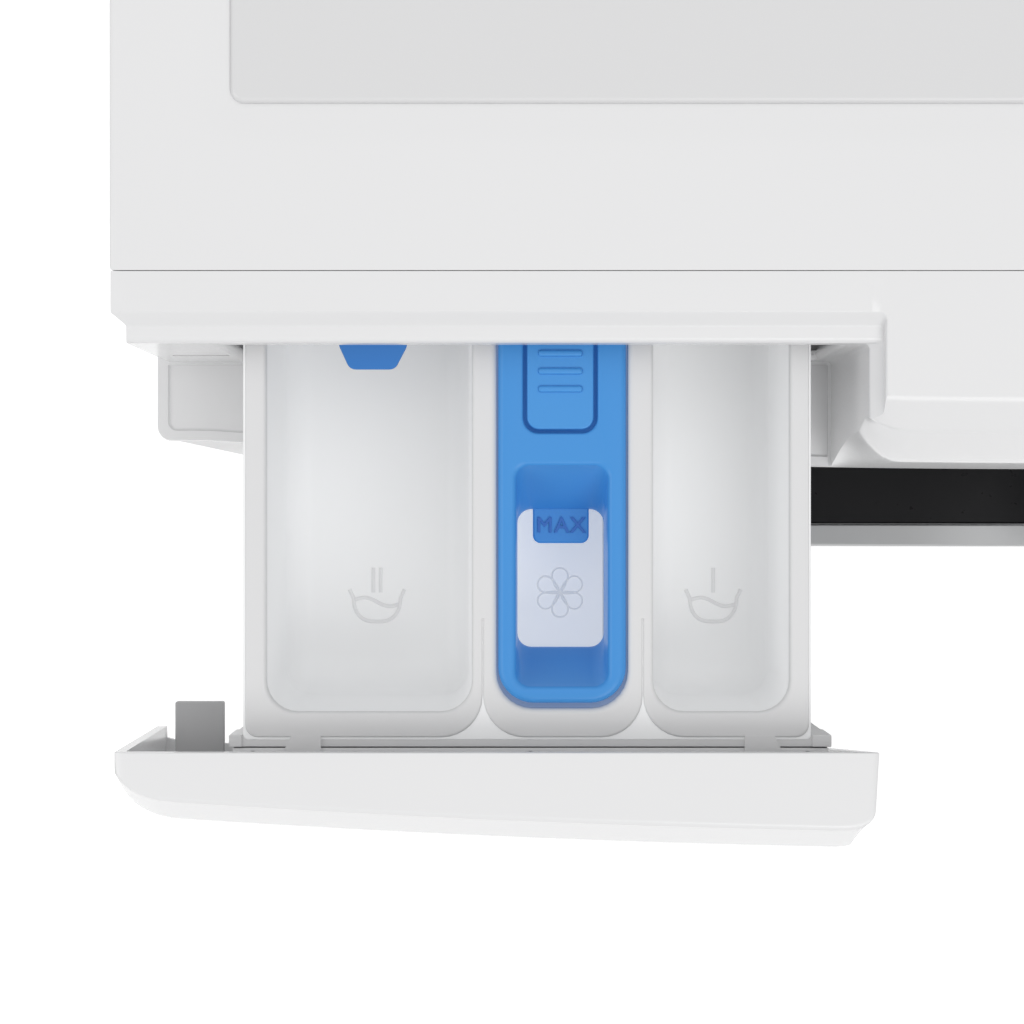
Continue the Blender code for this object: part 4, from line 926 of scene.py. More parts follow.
def make_tray():
    """The tray with its three deep pockets."""
    bottom, shoulder = TRAY_LOW.z, RIM_Z - RELIEF
    rings = [plain_ring(inset, shoulder - drop) for inset, drop in round_edge(0.0005, 3)]
    rings += [plain_ring(0.0002, RIM_Z - 0.020), plain_ring(0.0012, bottom + 0.003)]
    rings.append(plain_ring(0.0030, bottom))
    bm = bmesh.new()
    outside = add_loft(bm, rings, cap_first=False)
    mouths = [add_loft(bm, pocket_walls(pocket), cap_first=False)[0] for pocket in POCKETS.values()]
    fill_between(bm, outside[0], mouths)
    # painted light: the tray body's white is lighter than the rims' white and glows a little, brightening the
    # deep pockets
    piece("tray_body", bm, "drawer", ["drawer_tray"], WHITE_POCKET_PAINTED_LIGHT, sharp=50)


def make_tray_rims():
    """The raised rims around the pockets, with a round lip to each."""
    shoulder = RIM_Z - RELIEF
    rise = [(0.0, RIM_Z - RIM_DEPTH), (0.0, shoulder), (0.0001, shoulder + 0.0003)]
    rise += [(0.0003, RIM_Z - 0.0001), (0.0006, RIM_Z)]
    bm = bmesh.new()
    raised = add_loft(bm, [relief_ring(inset, z) for inset, z in rise], cap_first=False, cap_last=False)
    lips = [add_loft(bm, pocket_lip(pocket), cap_first=False, cap_last=False) for pocket in POCKETS.values()]
    fill_between(bm, raised[-1], [lip[0] for lip in lips])
    fill_between(bm, raised[0], [lip[-1] for lip in lips])
    piece("tray_rims", bm, "drawer", [], WHITE_TRAY, sharp=50)


def make_tray_front():
    """The tray's flange with its end clips and the two snap tabs over it."""
    bm = bmesh.new()
    low_z, high_z = TRAY_LOW.z + 0.004, RIM_Z - 0.0009
    add_box(bm, (-0.2668, TRAY_Y - 0.0021, low_z), (-0.0849, TRAY_Y + 0.0012, high_z), 0.0004)
    for a, b in ((-0.2672, -0.2632), (-0.0907, -0.0848)):
        add_box(bm, (a, TRAY_Y - 0.0021, high_z - 0.020), (b, TRAY_Y + 0.0016, high_z + 0.0008), 0.0004)
    front, back = TRAY_Y - 0.0035, TRAY_Y + 0.0013
    for inner, outer, slant in ((-0.2393, -0.2507, 0.0024), (-0.1111, -0.0997, -0.0024)):
        outline = [(outer, front), (inner, front), (inner, back), (outer + slant, back)]
        outline = fillet(outline, [0.0005] * 4, steps=3)
        add_loft(bm, [in_plan(outline, z) for z in (RIM_Z - 0.0030, RIM_Z + 0.0002)])
    piece("tray_flange", bm, "drawer", [], WHITE_TRAY)
    bm = bmesh.new()
    add_box(bm, (-0.2662, TRAY_Y - 0.0062, low_z + 0.004), (-0.0856, TRAY_Y - 0.0024, high_z), 0.0004)
    for x in (-0.2600, -0.1760, -0.0920):
        rib_low = (x - 0.0008, DRAWER_Y + 0.0120, low_z + 0.004)
        add_box(bm, rib_low, (x + 0.0008, TRAY_Y - 0.0030, high_z), 0.0003)
    piece("drawer_backplate", bm, "drawer", [], WHITE_SHELL)


def add_tube(bm, points, radius, closed=False, sides=10, flatten=1.0):
    """A round tube along points, with rounded-off tips; flatten squashes it in Z."""
    points = [Vector(p) for p in points]
    count = len(points)
    rows = []
    side_way = None
    for i, here in enumerate(points):
        before = points[i - 1] if i or closed else here
        after = points[(i + 1) % count] if i < count - 1 or closed else here
        along = (after - before).normalized()
        if side_way is None:
            side_way = along.cross(Vector((0, 0, 1)))
            if side_way.length < 0.1:
                side_way = Vector((1, 0, 0))
        side_way = (side_way - along * side_way.dot(along)).normalized()
        up = side_way.cross(along).normalized()
        row = []
        for k in range(sides):
            angle = 2 * math.pi * k / sides
            offset = side_way * math.cos(angle) * radius + up * math.sin(angle) * radius
            offset.z *= flatten
            row.append(here + offset)
        rows.append(row)
    if closed:
        add_loft(bm, rows + [rows[0]], cap_first=False, cap_last=False)
        bmesh.ops.remove_doubles(bm, verts=bm.verts, dist=1e-7)
    else:
        add_loft(bm, rows)


def bowl_icon(bm, x, y, z, strokes):
    """A wash tub with a waterline, and one or two strokes over it; y is the height of its rim."""
    radius, squat = 0.00062, 0.8
    half, handle, depth = 0.00755, 0.00890, 0.0075
    bowl = []
    for i in range(25):
        angle = math.pi * i / 24
        side = math.copysign(abs(math.cos(angle)) ** 0.7, -math.cos(angle))
        bowl.append((x + half * side, y - depth * math.sin(angle) ** 0.95, z))
    outline = [(x - handle, y + 0.0029, z)] + bowl + [(x + handle, y + 0.0029, z)]
    add_tube(bm, outline, radius, flatten=squat)
    wave = []
    for i in range(25):
        t = i / 24
        level = y - 0.0004 - 0.0015 * t + 0.0010 * math.sin(2 * math.pi * t)
        wave.append((x + 0.0070 * (2 * t - 1), level, z))
    add_tube(bm, wave, radius, flatten=squat)
    for k in range(strokes):
        bar = x + (k - (strokes - 1) / 2) * 0.00237
        add_tube(bm, [(bar, y + 0.0019, z), (bar, y + 0.0099, z)], radius, flatten=squat)


def flower_icon(bm, x, y, z):
    """Six full petals that meet at the centre."""
    length, width = 0.0076, 0.0030
    for petal in range(6):
        heading = math.radians(90 + 60 * petal)
        out = Vector((math.cos(heading), math.sin(heading)))
        across = Vector((-out.y, out.x))
        loop = []
        for i in range(24):
            angle = 2 * math.pi * i / 24
            reach = 0.0003 + length * (1 - math.cos(angle)) / 2
            place = out * reach + across * width * math.sin(angle) * (0.80 - 0.35 * math.cos(angle))
            loop.append((x + place.x, y + place.y, z))
        add_tube(bm, loop, 0.00036, closed=True)


def make_icons():
    """The compartments' marks, moulded into their floors, and a glowing white sheet on the softener's floor
    that is painted light.
    """
    floor = RIM_Z - TRAY_DEPTH
    middle = TRAY_Y + 0.0690
    bm = bmesh.new()
    bowl_icon(bm, -0.2251, middle - 0.0279, floor, 2)
    bowl_icon(bm, -0.1165, middle - 0.0279, floor, 1)
    piece("tray_icons", bm, "drawer", [], WHITE_MARK)
    left, right, front = POCKETS["softener"][:3]
    # painted light: a thin glowing white sheet on the softener pocket's floor brightens where it lies in
    # shade
    bm = bmesh.new()
    low = (left + 0.004, TRAY_Y + front + 0.006, floor - 0.0004)
    add_box(bm, low, (right - 0.004, TRAY_Y + 0.110, floor + 0.0004), 0.0002)
    piece("softener_floor_painted_light", bm, "drawer", [], SOFTENER_FLOOR_PAINTED_LIGHT)
    bm = bmesh.new()
    flower_icon(bm, -0.1660, middle - 0.0260, floor + 0.0004)
    piece("softener_mark", bm, "drawer", [], FLOWER_MARK)


def make_siphon():
    """The blue siphon insert: skirt, funnel with sloped ends, and the seat of its release tab."""
    bm = bmesh.new()
    skirt = add_siphon_skirt(bm)
    throat = add_siphon_funnel(bm)
    seat = add_tab_seat(bm)
    fill_between(bm, skirt[0], [throat[0], seat[0]])
    fill_between(bm, skirt[-1], [throat[-1]])
    piece("siphon_cover", bm, "drawer", ["siphon_insert"], BLUE_SATIN, sharp=50)


def add_siphon_skirt(bm):
    """The insert's outer wall, with a round upper edge."""
    heights = round_edge(0.0019, 5) + [(0.0, 0.012), (0.0004, SIPHON_DEPTH)]
    rings = []
    for inset, drop in heights:
        radii = [0.0108 - inset * 0.6] * 2 + [0.0012] * 2
        outline = inset_plan(INSERT_LOW, INSERT_HIGH, inset, radii, 9)
        rings.append(in_plan(outline, INSERT_HIGH.z - drop))
    return add_loft(bm, rings, cap_first=False, cap_last=False)


def add_siphon_funnel(bm):
    """The funnel, from its round lip down the sloped front and back to its open foot."""
    left, right = INSERT_LOW.x + 0.0054, INSERT_HIGH.x - 0.0055
    front, back = INSERT_LOW.y + 0.0052, INSERT_LOW.y + FUNNEL_BACK
    rows = [(-out, -out, -out, drop, 0.0042) for out, drop in round_edge(0.0016, 4)]
    rows.append((0.0002, 0.0008, 0.0009, 0.0035, 0.0043))
    rows += [(0.0004, 0.0103 * t, 0.0127 * t, 0.0035 + 0.0190 * t, 0.0044) for t in (0.35, 0.7, 0.95)]
    rows.append((0.0005, 0.0103, 0.0127, 0.0228, 0.0044))
    rows.append((0.0005, 0.0106, 0.0130, FUNNEL_DEPTH, 0.0044))
    rows.append((0.0004, 0.0106, 0.0130, SIPHON_DEPTH, 0.0044))
    rings = []
    for side_in, front_in, back_in, drop, radius in rows:
        near, far = front + front_in, back - back_in
        outline = round_rect(left + side_in, near, right - side_in, far, [radius] * 4, 7)
        rings.append(in_plan(outline, INSERT_HIGH.z - drop))
    return add_loft(bm, rings, cap_first=False, cap_last=False)


def add_tab_seat(bm):
    """The pocket that the release tab sinks into, with a soft edge."""
    gap = 0.0012
    rings = []
    for grow, drop in ((0.0007, 0.0), (0.0002, 0.0002), (0.0, 0.0007), (0.0, 0.0075)):
        outline = inset_plan(TAB_LOW, TAB_HIGH, -gap - grow, [0.0048] * 2 + [0.001] * 2, 7)
        rings.append(in_plan(outline, INSERT_HIGH.z - drop))
    return add_loft(bm, rings, cap_first=False)


def make_level_tab():
    """The filling mark that stands out from the funnel's back wall."""
    left, right = -0.1750, -0.1576
    back, z = INSERT_LOW.y + FUNNEL_BACK - 0.0130, INSERT_HIGH.z - FUNNEL_DEPTH
    thick = 0.0014
    rings = []
    for inset, rise in ((0.0005, -thick), (0.0, 0.0005 - thick), (0.0, -0.0005), (0.0005, 0.0)):
        radii = [0.0024 - inset] * 2 + [0.0004] * 2
        outline = round_rect(left + inset, back - 0.0106 + inset, right - inset, back + 0.0010, radii)
        rings.append(in_plan(outline, z + rise))
    bm = bmesh.new()
    add_loft(bm, rings)
    piece("level_tab", bm, "drawer", [], BLUE_TAB)
    word = raised_word("MAX", 0.0066, ((left + right) / 2, back - 0.0052, z + 0.0001))
    piece("level_mark", word, "drawer", [], BLUE_MARK, recalculate=False)


def raised_word(body, size, place):
    """A bmesh of raised letters that lie flat around a place."""
    text = bpy.data.curves.new("word", "FONT")
    text.body = body
    text.size = size
    text.extrude = 0.0005
    text.bevel_depth = 0.00012
    text.align_x = "CENTER"
    text.align_y = "CENTER"
    text.space_character = 1.15
    item = bpy.data.objects.new("word", text)
    bpy.context.scene.collection.objects.link(item)
    bpy.context.view_layer.update()
    mesh = bpy.data.meshes.new_from_object(item.evaluated_get(bpy.context.evaluated_depsgraph_get()))
    mesh.transform(Matrix.Translation(place))
    word = bmesh.new()
    word.from_mesh(mesh)
    bpy.data.objects.remove(item, do_unlink=True)
    bpy.data.curves.remove(text)
    bpy.data.meshes.remove(mesh)
    return word


def make_release_tab():
    """The ribbed tab that is pressed to free the drawer."""
    low, high = TAB_LOW, TAB_HIGH
    top, edge = INSERT_HIGH.z, 0.0008
    rings = []
    for inset, z in ((0.0, low.z), (0.0, top - edge), (edge * 0.3, top - edge * 0.3), (edge, top)):
        radii = [0.0037 - inset] * 2 + [0.0008 - inset * 0.5] * 2
        rings.append(in_plan(inset_plan(low, high, inset, radii, 7), z))
    bm = bmesh.new()
    add_loft(bm, rings)
    left, right = (low.x + high.x) / 2 - 0.0067, (low.x + high.x) / 2 + 0.0067
    for step in range(5):
        y = low.y + 0.0122 + 0.0054 * step
        add_box(bm, (left, y - 0.0010, top - 0.0004), (right, y + 0.0010, top + 0.0008), 0.0008, 4)
    piece("release_button", bm, "drawer_release", ["release_tab"], BLUE_TAB)


def make_liquid_flap():
    """The slanted liquid flap with its hinge barrel."""
    pivot = Vector((-0.2247, FLAP_HIGH.y - 0.0004, FLAP_HIGH.z - 0.0009))
    slope = Matrix.Rotation(math.radians(25), 4, "X")
    outline = [(-0.0112, 0.0), (0.0112, 0.0), (0.0110, -0.0100)]
    outline += [(0.0072, -0.0176), (-0.0068, -0.0176), (-0.0098, -0.0100)]
    ring = fillet(outline, [0.001, 0.001, 0.004, 0.003, 0.003, 0.004], 4)
    bm = bmesh.new()
    rings = []
    for inset, z in ((0.0004, -0.0009), (0.0, -0.0005), (0.0, 0.0005), (0.0004, 0.0009)):
        rings.append([(x * (1 - inset / 0.012), y + inset * (0.5 if y < -0.01 else 0), z) for x, y in ring])
    add_loft(bm, rings)
    add_tube(bm, [(-0.0140, 0, 0), (-0.0139, 0, 0), (0.0139, 0, 0), (0.0140, 0, 0)], 0.0014, sides=16)
    bmesh.ops.transform(bm, matrix=Matrix.Translation(pivot) @ slope, verts=bm.verts)
    piece("liquid_guide_flap", bm, "liquid_guide", ["liquid_flap"], BLUE_FLAP)


# ---------------------------------------------------------------- door


def make_door_surround():
    """The black ring between the chrome trim and the glass."""
    radius, back = TRIM_HIGH.x, TRIM_HIGH.y
    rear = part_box("door_frame")[1].y
    profile = [
        (radius - 0.0006, back + 0.0003), (radius, back + 0.0009), (radius, rear - 0.0008),
        (radius - 0.0008, rear), (radius - 0.0034, rear), (radius - 0.0038, rear - 0.0006),
        (radius - 0.0038, back + 0.0045), (radius - 0.0046, back + 0.0037), (0.1900, back + 0.0037),
        (0.1840, back + 0.0044), (0.1560, back + 0.0098), (0.1530, back + 0.0100), (0.1526, back + 0.0090),
        (0.1530, back + 0.0070), (0.1560, back + 0.0058), (0.1700, back + 0.0028), (0.1850, back + 0.0008),
        (0.1890, back + 0.0003),
    ]
    item = turned_piece("door_surround", profile, "door", ["door_frame"], BLACK_GLOSS, sides=160)
    carve(item, hinge_room())


def make_chrome_ring():
    """The chrome trim, which bulges forward around the door."""
    radius, front, back = TRIM_HIGH.x, TRIM_LOW.y, TRIM_HIGH.y
    profile = [
        (radius, back), (0.1920, back), (0.1916, back - 0.0012), (0.1922, front + 0.0058),
        (0.1945, front + 0.0040), (0.1990, front + 0.0018), (0.2050, front + 0.0004), (0.2120, front),
        (0.2330, front), (0.2430, front + 0.0001), (0.2442, front + 0.0003), (radius, front + 0.0010),
        (radius, back - 0.0006), (radius - 0.0005, back - 0.00005),
    ]
    turned_piece("door_chrome_ring", profile, "door", ["door_trim_ring"], SATIN_CHROME, sides=160)


def make_door_bowl():
    """The glass bowl: a flat flange, a sloped wall and a domed bottom."""
    flange = TRIM_HIGH.y + 0.0110
    outside = [(0.167, flange), (0.167, flange + 0.004), (0.152, flange + 0.0042), (0.1480, flange + 0.0075)]
    outside += [(0.1400, -0.2060), (0.1300, -0.1810), (0.1215, -0.1640), (0.1150, -0.1555), (0.1050, -0.1500)]
    outside += [(0.0880, -0.1476), (0.0600, -0.1464), (0.0300, -0.1460), (0.0, -0.1459)]
    inside = [(0.0, -0.1500), (0.0300, -0.1501), (0.0600, -0.1505), (0.0860, -0.1518), (0.1010, -0.1542)]
    inside += [(0.1105, -0.1590), (0.1170, -0.1670), (0.1255, -0.1830), (0.1355, -0.2075)]
    inside += [(0.1435, flange + 0.0050), (0.1470, flange)]
    turned_piece("door_bowl", outside + inside, "door", ["door_glass"], DOOR_GLASS, sides=128)


def make_door_back():
    """The inner frame behind the glass, with room for the hinge and the latch hook."""
    low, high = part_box("door_inner_frame")
    rim, well, back = high.z - AXIS_Z, 0.156, high.y
    profile = [
        (rim, back - 0.0008), (rim - 0.0008, back), (0.2300, back), (0.2280, back - 0.0010),
        (0.2200, back - 0.0010), (0.2180, back), (0.1640, back), (0.1610, back - 0.0006),
        (well + 0.0010, back - 0.0030), (well, back - 0.0050), (well, low.y), (well + 0.003, low.y),
        (well + 0.003, back - 0.0062), (0.1640, back - 0.0030), (rim, back - 0.0026),
    ]
    item = turned_piece("door_back_ring", profile, "door", ["door_inner_frame"], GREY_PLASTIC, sides=160)
    cutter = hinge_room()
    hook_low, hook_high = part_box("door_latch_hook")
    slot_low = (hook_low.x - 0.0040, back - 0.02, hook_low.z - 0.003)
    add_box(cutter, slot_low, (hook_high.x + 0.0040, back + 0.02, hook_high.z + 0.003), 0)
    carve(item, cutter)


def hinge_room():
    """The room that the door's ring leaves around its hinge, as a tool to cut with."""
    low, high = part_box("door_hinge_bracket")
    axis = hinge_axis()
    tool = bmesh.new()
    corner = (axis.x - 0.030, axis.y - 0.0060, low.z - 0.001)
    add_box(tool, corner, (axis.x + 0.0090, high.y + 0.02, high.z + 0.001), 0)
    return tool


def hinge_axis():
    """A point on the door's hinge axis."""
    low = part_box("door_hinge_bracket")[0]
    knuckle = 0.0045
    return Vector((low.x + knuckle, low.y + knuckle, AXIS_Z))


def make_door_screws():
    """Eight countersunk screws around the door's inner frame."""
    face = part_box("door_inner_frame")[1].y
    bm = bmesh.new()
    add_screw_circle(bm, 0.2080, face - 0.0002, 0.0032)
    piece("door_frame_screws", bm, "door", [], SPRING_STEEL)


def add_screw_circle(bm, radius, y, head):
    """Eight screw heads that face backwards, on a circle about the drum's axis."""
    for k in range(8):
        angle = math.radians(22.5 + 45 * k)
        place = Vector((radius * math.cos(angle), y, AXIS_Z + radius * math.sin(angle)))
        add_screw(bm, place, head)


def add_screw(bm, place, radius):
    """A low round screw head with a cross-shaped recess, facing backwards."""
    profile = [(0.0, -0.0006), (radius, -0.0006), (radius, 0.0003), (radius * 0.8, 0.0009)]
    profile += [(radius * 0.46, 0.0011), (radius * 0.40, 0.0004), (0.0, 0.0004)]
    part = bmesh.new()
    add_turned(part, profile, 0.0, 0.0, 20)
    append(bm, part, Matrix.Translation(place))
    for wide, tall in ((radius * 0.42, radius * 0.09), (radius * 0.09, radius * 0.42)):
        part = bmesh.new()
        add_box(part, (-wide, 0.0003, -tall), (wide, 0.0009, tall), 0)
        append(bm, part, Matrix.Translation(place))


def make_hinge():
    """The knuckles and leaf of the door's hinge."""
    low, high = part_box("door_hinge_bracket")
    axis = hinge_axis()
    count, gap = 5, 0.0002
    length = (high.z - low.z) / count
    bm = bmesh.new()
    for k in range(count):
        a, b = low.z + length * k + gap, low.z + length * (k + 1) - gap
        profile = [(0.0, a), (0.0040, a), (0.0045, a + 0.0005), (0.0045, b - 0.0005), (0.0040, b), (0.0, b)]
        add_upright(bm, profile, (axis.x, axis.y, 0), 24)
    add_box(bm, (axis.x + 0.0012, axis.y + 0.001, low.z), (high.x, high.y, high.z), 0.0005)
    piece("door_hinge", bm, "cabinet", ["door_hinge_bracket"], CAST_METAL)


def make_hook():
    """The sprung latch hook, with a rounded nose."""
    low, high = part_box("door_latch_hook")
    x = (low.x + high.x) / 2 - 0.0013
    tip = high.y
    outline = [
        (x - 0.0039, low.y + 0.0002), (x + 0.0039, low.y + 0.0002), (x + 0.0030, tip - 0.0080),
        (x + 0.0063, tip - 0.0080), (x + 0.0020, tip - 0.0001), (x - 0.0028, tip - 0.0020),
    ]
    ring = fillet(outline, [0.0020, 0.0020, 0.0008, 0.0008, 0.0016, 0.0016], 4)
    bm = bmesh.new()
    middle = Vector((x, (low.y + tip) / 2))
    edge = 0.0006
    rings = []
    for inset, z in ((edge, low.z), (0.0, low.z + edge), (0.0, high.z - edge), (edge, high.z)):
        row = []
        for px, py in ring:
            toward = (middle - Vector((px, py))).normalized() * inset
            row.append((px + toward.x, py + toward.y, z))
        rings.append(row)
    add_loft(bm, rings)
    piece("latch_hook", bm, "latch", ["door_latch_hook"], SPRING_STEEL)


# ---------------------------------------------------------------- controls


def make_knob():
    """The programme knob: fluted side, flat face and pointer."""
    low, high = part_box("program_knob")
    x, z = front_centre("program_knob")
    radius, front, back = high.x - x, low.y, FRONT_Y - 0.0006
    profile = [
        (0.0, front + 0.0010, 0), (0.0170, front + 0.0010, 0), (0.0180, front + 0.0004, 0),
        (0.0186, front, 0), (0.0202, front, 0.2), (0.0210, front + 0.0006, 0.5),
        (0.0214, front + 0.0020, 1), (0.0222, back - 0.0060, 1), (0.0223, back - 0.0052, 0),
        (radius - 0.0006, back - 0.0046, 0), (radius, back - 0.0038, 0), (radius, back, 0),
        (0.0052, back, 0), (0.0052, back + 0.0120, 0), (0.0, back + 0.0120, 0),
    ]
    bm = bmesh.new()
    add_fluted(bm, profile, x, z, 216, 36, 0.00045)
    piece("knob_body", bm, "knob", ["program_knob"], SILVER, sharp=35)
    bm = bmesh.new()
    add_box(bm, (x - 0.0007, front + 0.0004, z + 0.0080), (x + 0.0007, front + 0.0012, z + 0.0162), 0.0002)
    piece("knob_pointer", bm, "knob", [], DARK_PLASTIC)


def make_marks():
    """Printed ticks around the knob: a long one every third place."""
    x, z = front_centre("program_knob")
    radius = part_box("program_knob")[1].x - x
    near = radius + 0.0034
    count = 15
    bm = bmesh.new()
    for k in range(count):
        angle = math.radians(90 + (k - (count - 1) / 2) * 20)
        length = 0.0032 if k % 3 == 1 else 0.0018
        part = bmesh.new()
        add_box(part, (near, -0.0001, -0.00025), (near + length, 0.00012, 0.00025), 0)
        middle = x + (radius + 0.005) * math.cos(angle)
        turn = Matrix.Rotation(-angle, 4, "Y")
        append(bm, part, Matrix.Translation((x, FRONT_Y + bow(middle) - 0.00006, z)) @ turn)
    piece("knob_scale", bm, "cabinet", [], GREY_PLASTIC)


def make_display():
    """The display window behind the bowed front."""
    bm = bmesh.new()
    bowed_plate(bm, WINDOW_LOW, WINDOW_HIGH, 0.0002, 0.0014, 0.0040)
    piece("display_glass", bm, "cabinet", ["display_window"], BLACK_WINDOW)


def bowed_plate(bm, low, high, front, back, corner, edge=0.0006, columns=24):
    """A plate that follows the bowed front, with rounded corners and a soft front edge."""
    outline = round_rect(low.x, low.z, high.x, high.z, [corner] * 4, 8)
    dense = []
    for (ax, az), (bx, bz) in zip(outline, outline[1:] + outline[:1]):
        steps = max(1, int(abs(bx - ax) / ((high.x - low.x) / columns)))
        dense += [(ax + (bx - ax) * i / steps, az + (bz - az) * i / steps) for i in range(steps)]
    cx, cz = (low.x + high.x) / 2, (low.z + high.z) / 2
    half_x, half_z = (high.x - low.x) / 2, (high.z - low.z) / 2

    def ring(inset, y):
        row = []
        for px, pz in dense:
            nx = cx + (px - cx) * (1 - inset / half_x)
            nz = cz + (pz - cz) * (1 - inset / half_z)
            row.append((nx, FRONT_Y + bow(nx) + y, nz))
        return row

    rings = [ring(0, back), ring(0, front + edge), ring(edge * 0.3, front + edge * 0.3), ring(edge, front)]
    made = add_loft(bm, rings, cap_last=False)
    fill_between(bm, made[-1], [])


def make_start_button():
    """The round start button with its arrow."""
    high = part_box("start_button")[1]
    x, z = front_centre("start_button")
    face = FRONT_Y + bow(x) - 0.0022
    profile = [
        (0.0, face + 0.0006), (0.0050, face + 0.0005), (0.0086, face + 0.0001), (0.0100, face),
        (0.0107, face + 0.0004), (0.0110, face + 0.0012), (0.0110, face + 0.0078), (0.0, face + 0.0078),
    ]
    bm = bmesh.new()
    add_turned(bm, profile, x, z, 64)
    add_box(bm, (x - 0.0038, face + 0.0070, z - 0.0038), (x + 0.0038, high.y, z + 0.0038), 0.0004)
    piece("start_key", bm, "start", ["start_button"], SILVER, sharp=35)
    bm = bmesh.new()
    arrow = fillet([(-0.0022, -0.0028), (0.0030, 0.0), (-0.0022, 0.0028)], [0.0005] * 3, 3)
    outline = [(x + u, z + v) for u, v in arrow]
    add_loft(bm, [in_front(outline, y) for y in (face + 0.0007, face + 0.00045)])
    piece("start_mark", bm, "start", [], DARK_PLASTIC)


def make_option_button():
    """The small square option button."""
    low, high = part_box("option_button")
    rings = []
    for inset, y in ((0.0, high.y), (0.0, low.y + 0.0010), (0.0004, low.y + 0.0002), (0.0010, low.y)):
        rings.append(in_front(inset_front(low, high, inset, [0.0034 - inset] * 4, 7), y))
    bm = bmesh.new()
    add_loft(bm, rings)
    piece("option_key", bm, "option", ["option_button"], SILVER, sharp=35)


def make_display_marks():
    """A dim three-digit readout and a row of option lamps behind the window."""
    height, width, bar = 0.0150, 0.0080, 0.0013
    centre_z = (WINDOW_LOW.z + WINDOW_HIGH.z) / 2 + 0.003
    start = WINDOW_HIGH.x - 0.060
    bm = bmesh.new()
    for digit in range(3):
        x = start + digit * 0.0135 + (0.0030 if digit else 0.0)
        for v in (1.0, -1.0):
            add_mark(bm, x, centre_z + v * height / 2, width * 0.78, bar)
        for u, v in ((-1.0, 0.5), (1.0, 0.5), (-1.0, -0.5), (1.0, -0.5)):
            add_mark(bm, x + u * width / 2, centre_z + v * height / 2, bar, height * 0.42)
    for v in (-0.0030, 0.0030):
        add_mark(bm, start + 0.0083, centre_z + v, bar, bar)
    for k in range(6):
        add_mark(bm, WINDOW_LOW.x + 0.012 + k * 0.0105, WINDOW_LOW.z + 0.007, 0.0050, 0.0008)
    piece("display_readout", bm, "cabinet", [], READOUT)


def add_mark(bm, x, z, width, height):
    y = FRONT_Y + bow(x) + 0.00012
    add_box(bm, (x - width / 2, y, z - height / 2), (x + width / 2, y + 0.0003, z + height / 2), 0)


# ---------------------------------------------------------------- cabinet


def make_front_panel():
    """The enamelled front sheet with its porthole, hatchway and latch slot."""
    low, high = CASE_LOW, CASE_HIGH
    wall, edge = 0.0012, 0.0030

    def frame_ring(inset, y):
        down = inset * 0.3
        outline = round_rect(low.x + inset, low.z + down, high.x - inset, high.z - down, [0.0015] * 4, 4)
        return in_front(outline, y)

    bm = bmesh.new()
    outer = [frame_ring(0.0, high.y)]
    outer += [frame_ring(aside, low.y + short) for short, aside in round_edge(edge, 5)]
    inner = [frame_ring(wall, high.y), frame_ring(wall, low.y + edge), frame_ring(edge, low.y + wall)]
    skin = add_loft(bm, outer, cap_first=False, cap_last=False)
    lining = add_loft(bm, inner, cap_first=False, cap_last=False)
    bridge(bm, skin[0], lining[0])
    near, far = [], []
    for number, outline in enumerate(panel_openings()):
        rows = []
        for grow, depth in round_edge(0.0010, 3):
            rows.append(in_front(offset_loop(outline, grow), low.y + depth))
        collar = low.y + wall + (0.0085 if number == 0 else 0.0)
        rows.append(in_front(outline, collar))
        if number == 0:
            rows.append(in_front(offset_loop(outline, wall), collar))
            rows.append(in_front(offset_loop(outline, wall), low.y + wall))
        walls = add_loft(bm, rows, cap_first=False, cap_last=False)
        near.append(walls[0])
        far.append(walls[-1])
    fill_between(bm, skin[-1], near)
    fill_between(bm, lining[-1], far)
    piece("front_sheet", bm, "cabinet", ["front_panel"], WHITE_ENAMEL, sharp=50)


def panel_openings():
    """Outlines of the porthole, which has a collar, the hatchway and the latch slot."""
    low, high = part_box("filter_hatch")
    lock_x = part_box("door_latch_hook")[0].x - 0.0075
    return [
        circle(0.0, AXIS_Z, 0.172, 128),
        inset_front(low, high, -0.0007, [0.006] * 4),
        round_rect(lock_x, AXIS_Z - 0.014, lock_x + 0.023, AXIS_Z + 0.014, [0.0025] * 4),
    ]


def circle(x, z, radius, sides):
    """A circle as (x, z) points."""
    angles = [2 * math.pi * i / sides for i in range(sides)]
    return [(x + radius * math.cos(angle), z + radius * math.sin(angle)) for angle in angles]


def offset_loop(outline, grow):
    """Grow a convex outline away from its middle by a distance."""
    cx = sum(p[0] for p in outline) / len(outline)
    cz = sum(p[1] for p in outline) / len(outline)
    half_x = max(abs(p[0] - cx) for p in outline)
    half_z = max(abs(p[1] - cz) for p in outline)
    return [(cx + (x - cx) * (1 + grow / half_x), cz + (z - cz) * (1 + grow / half_z)) for x, z in outline]


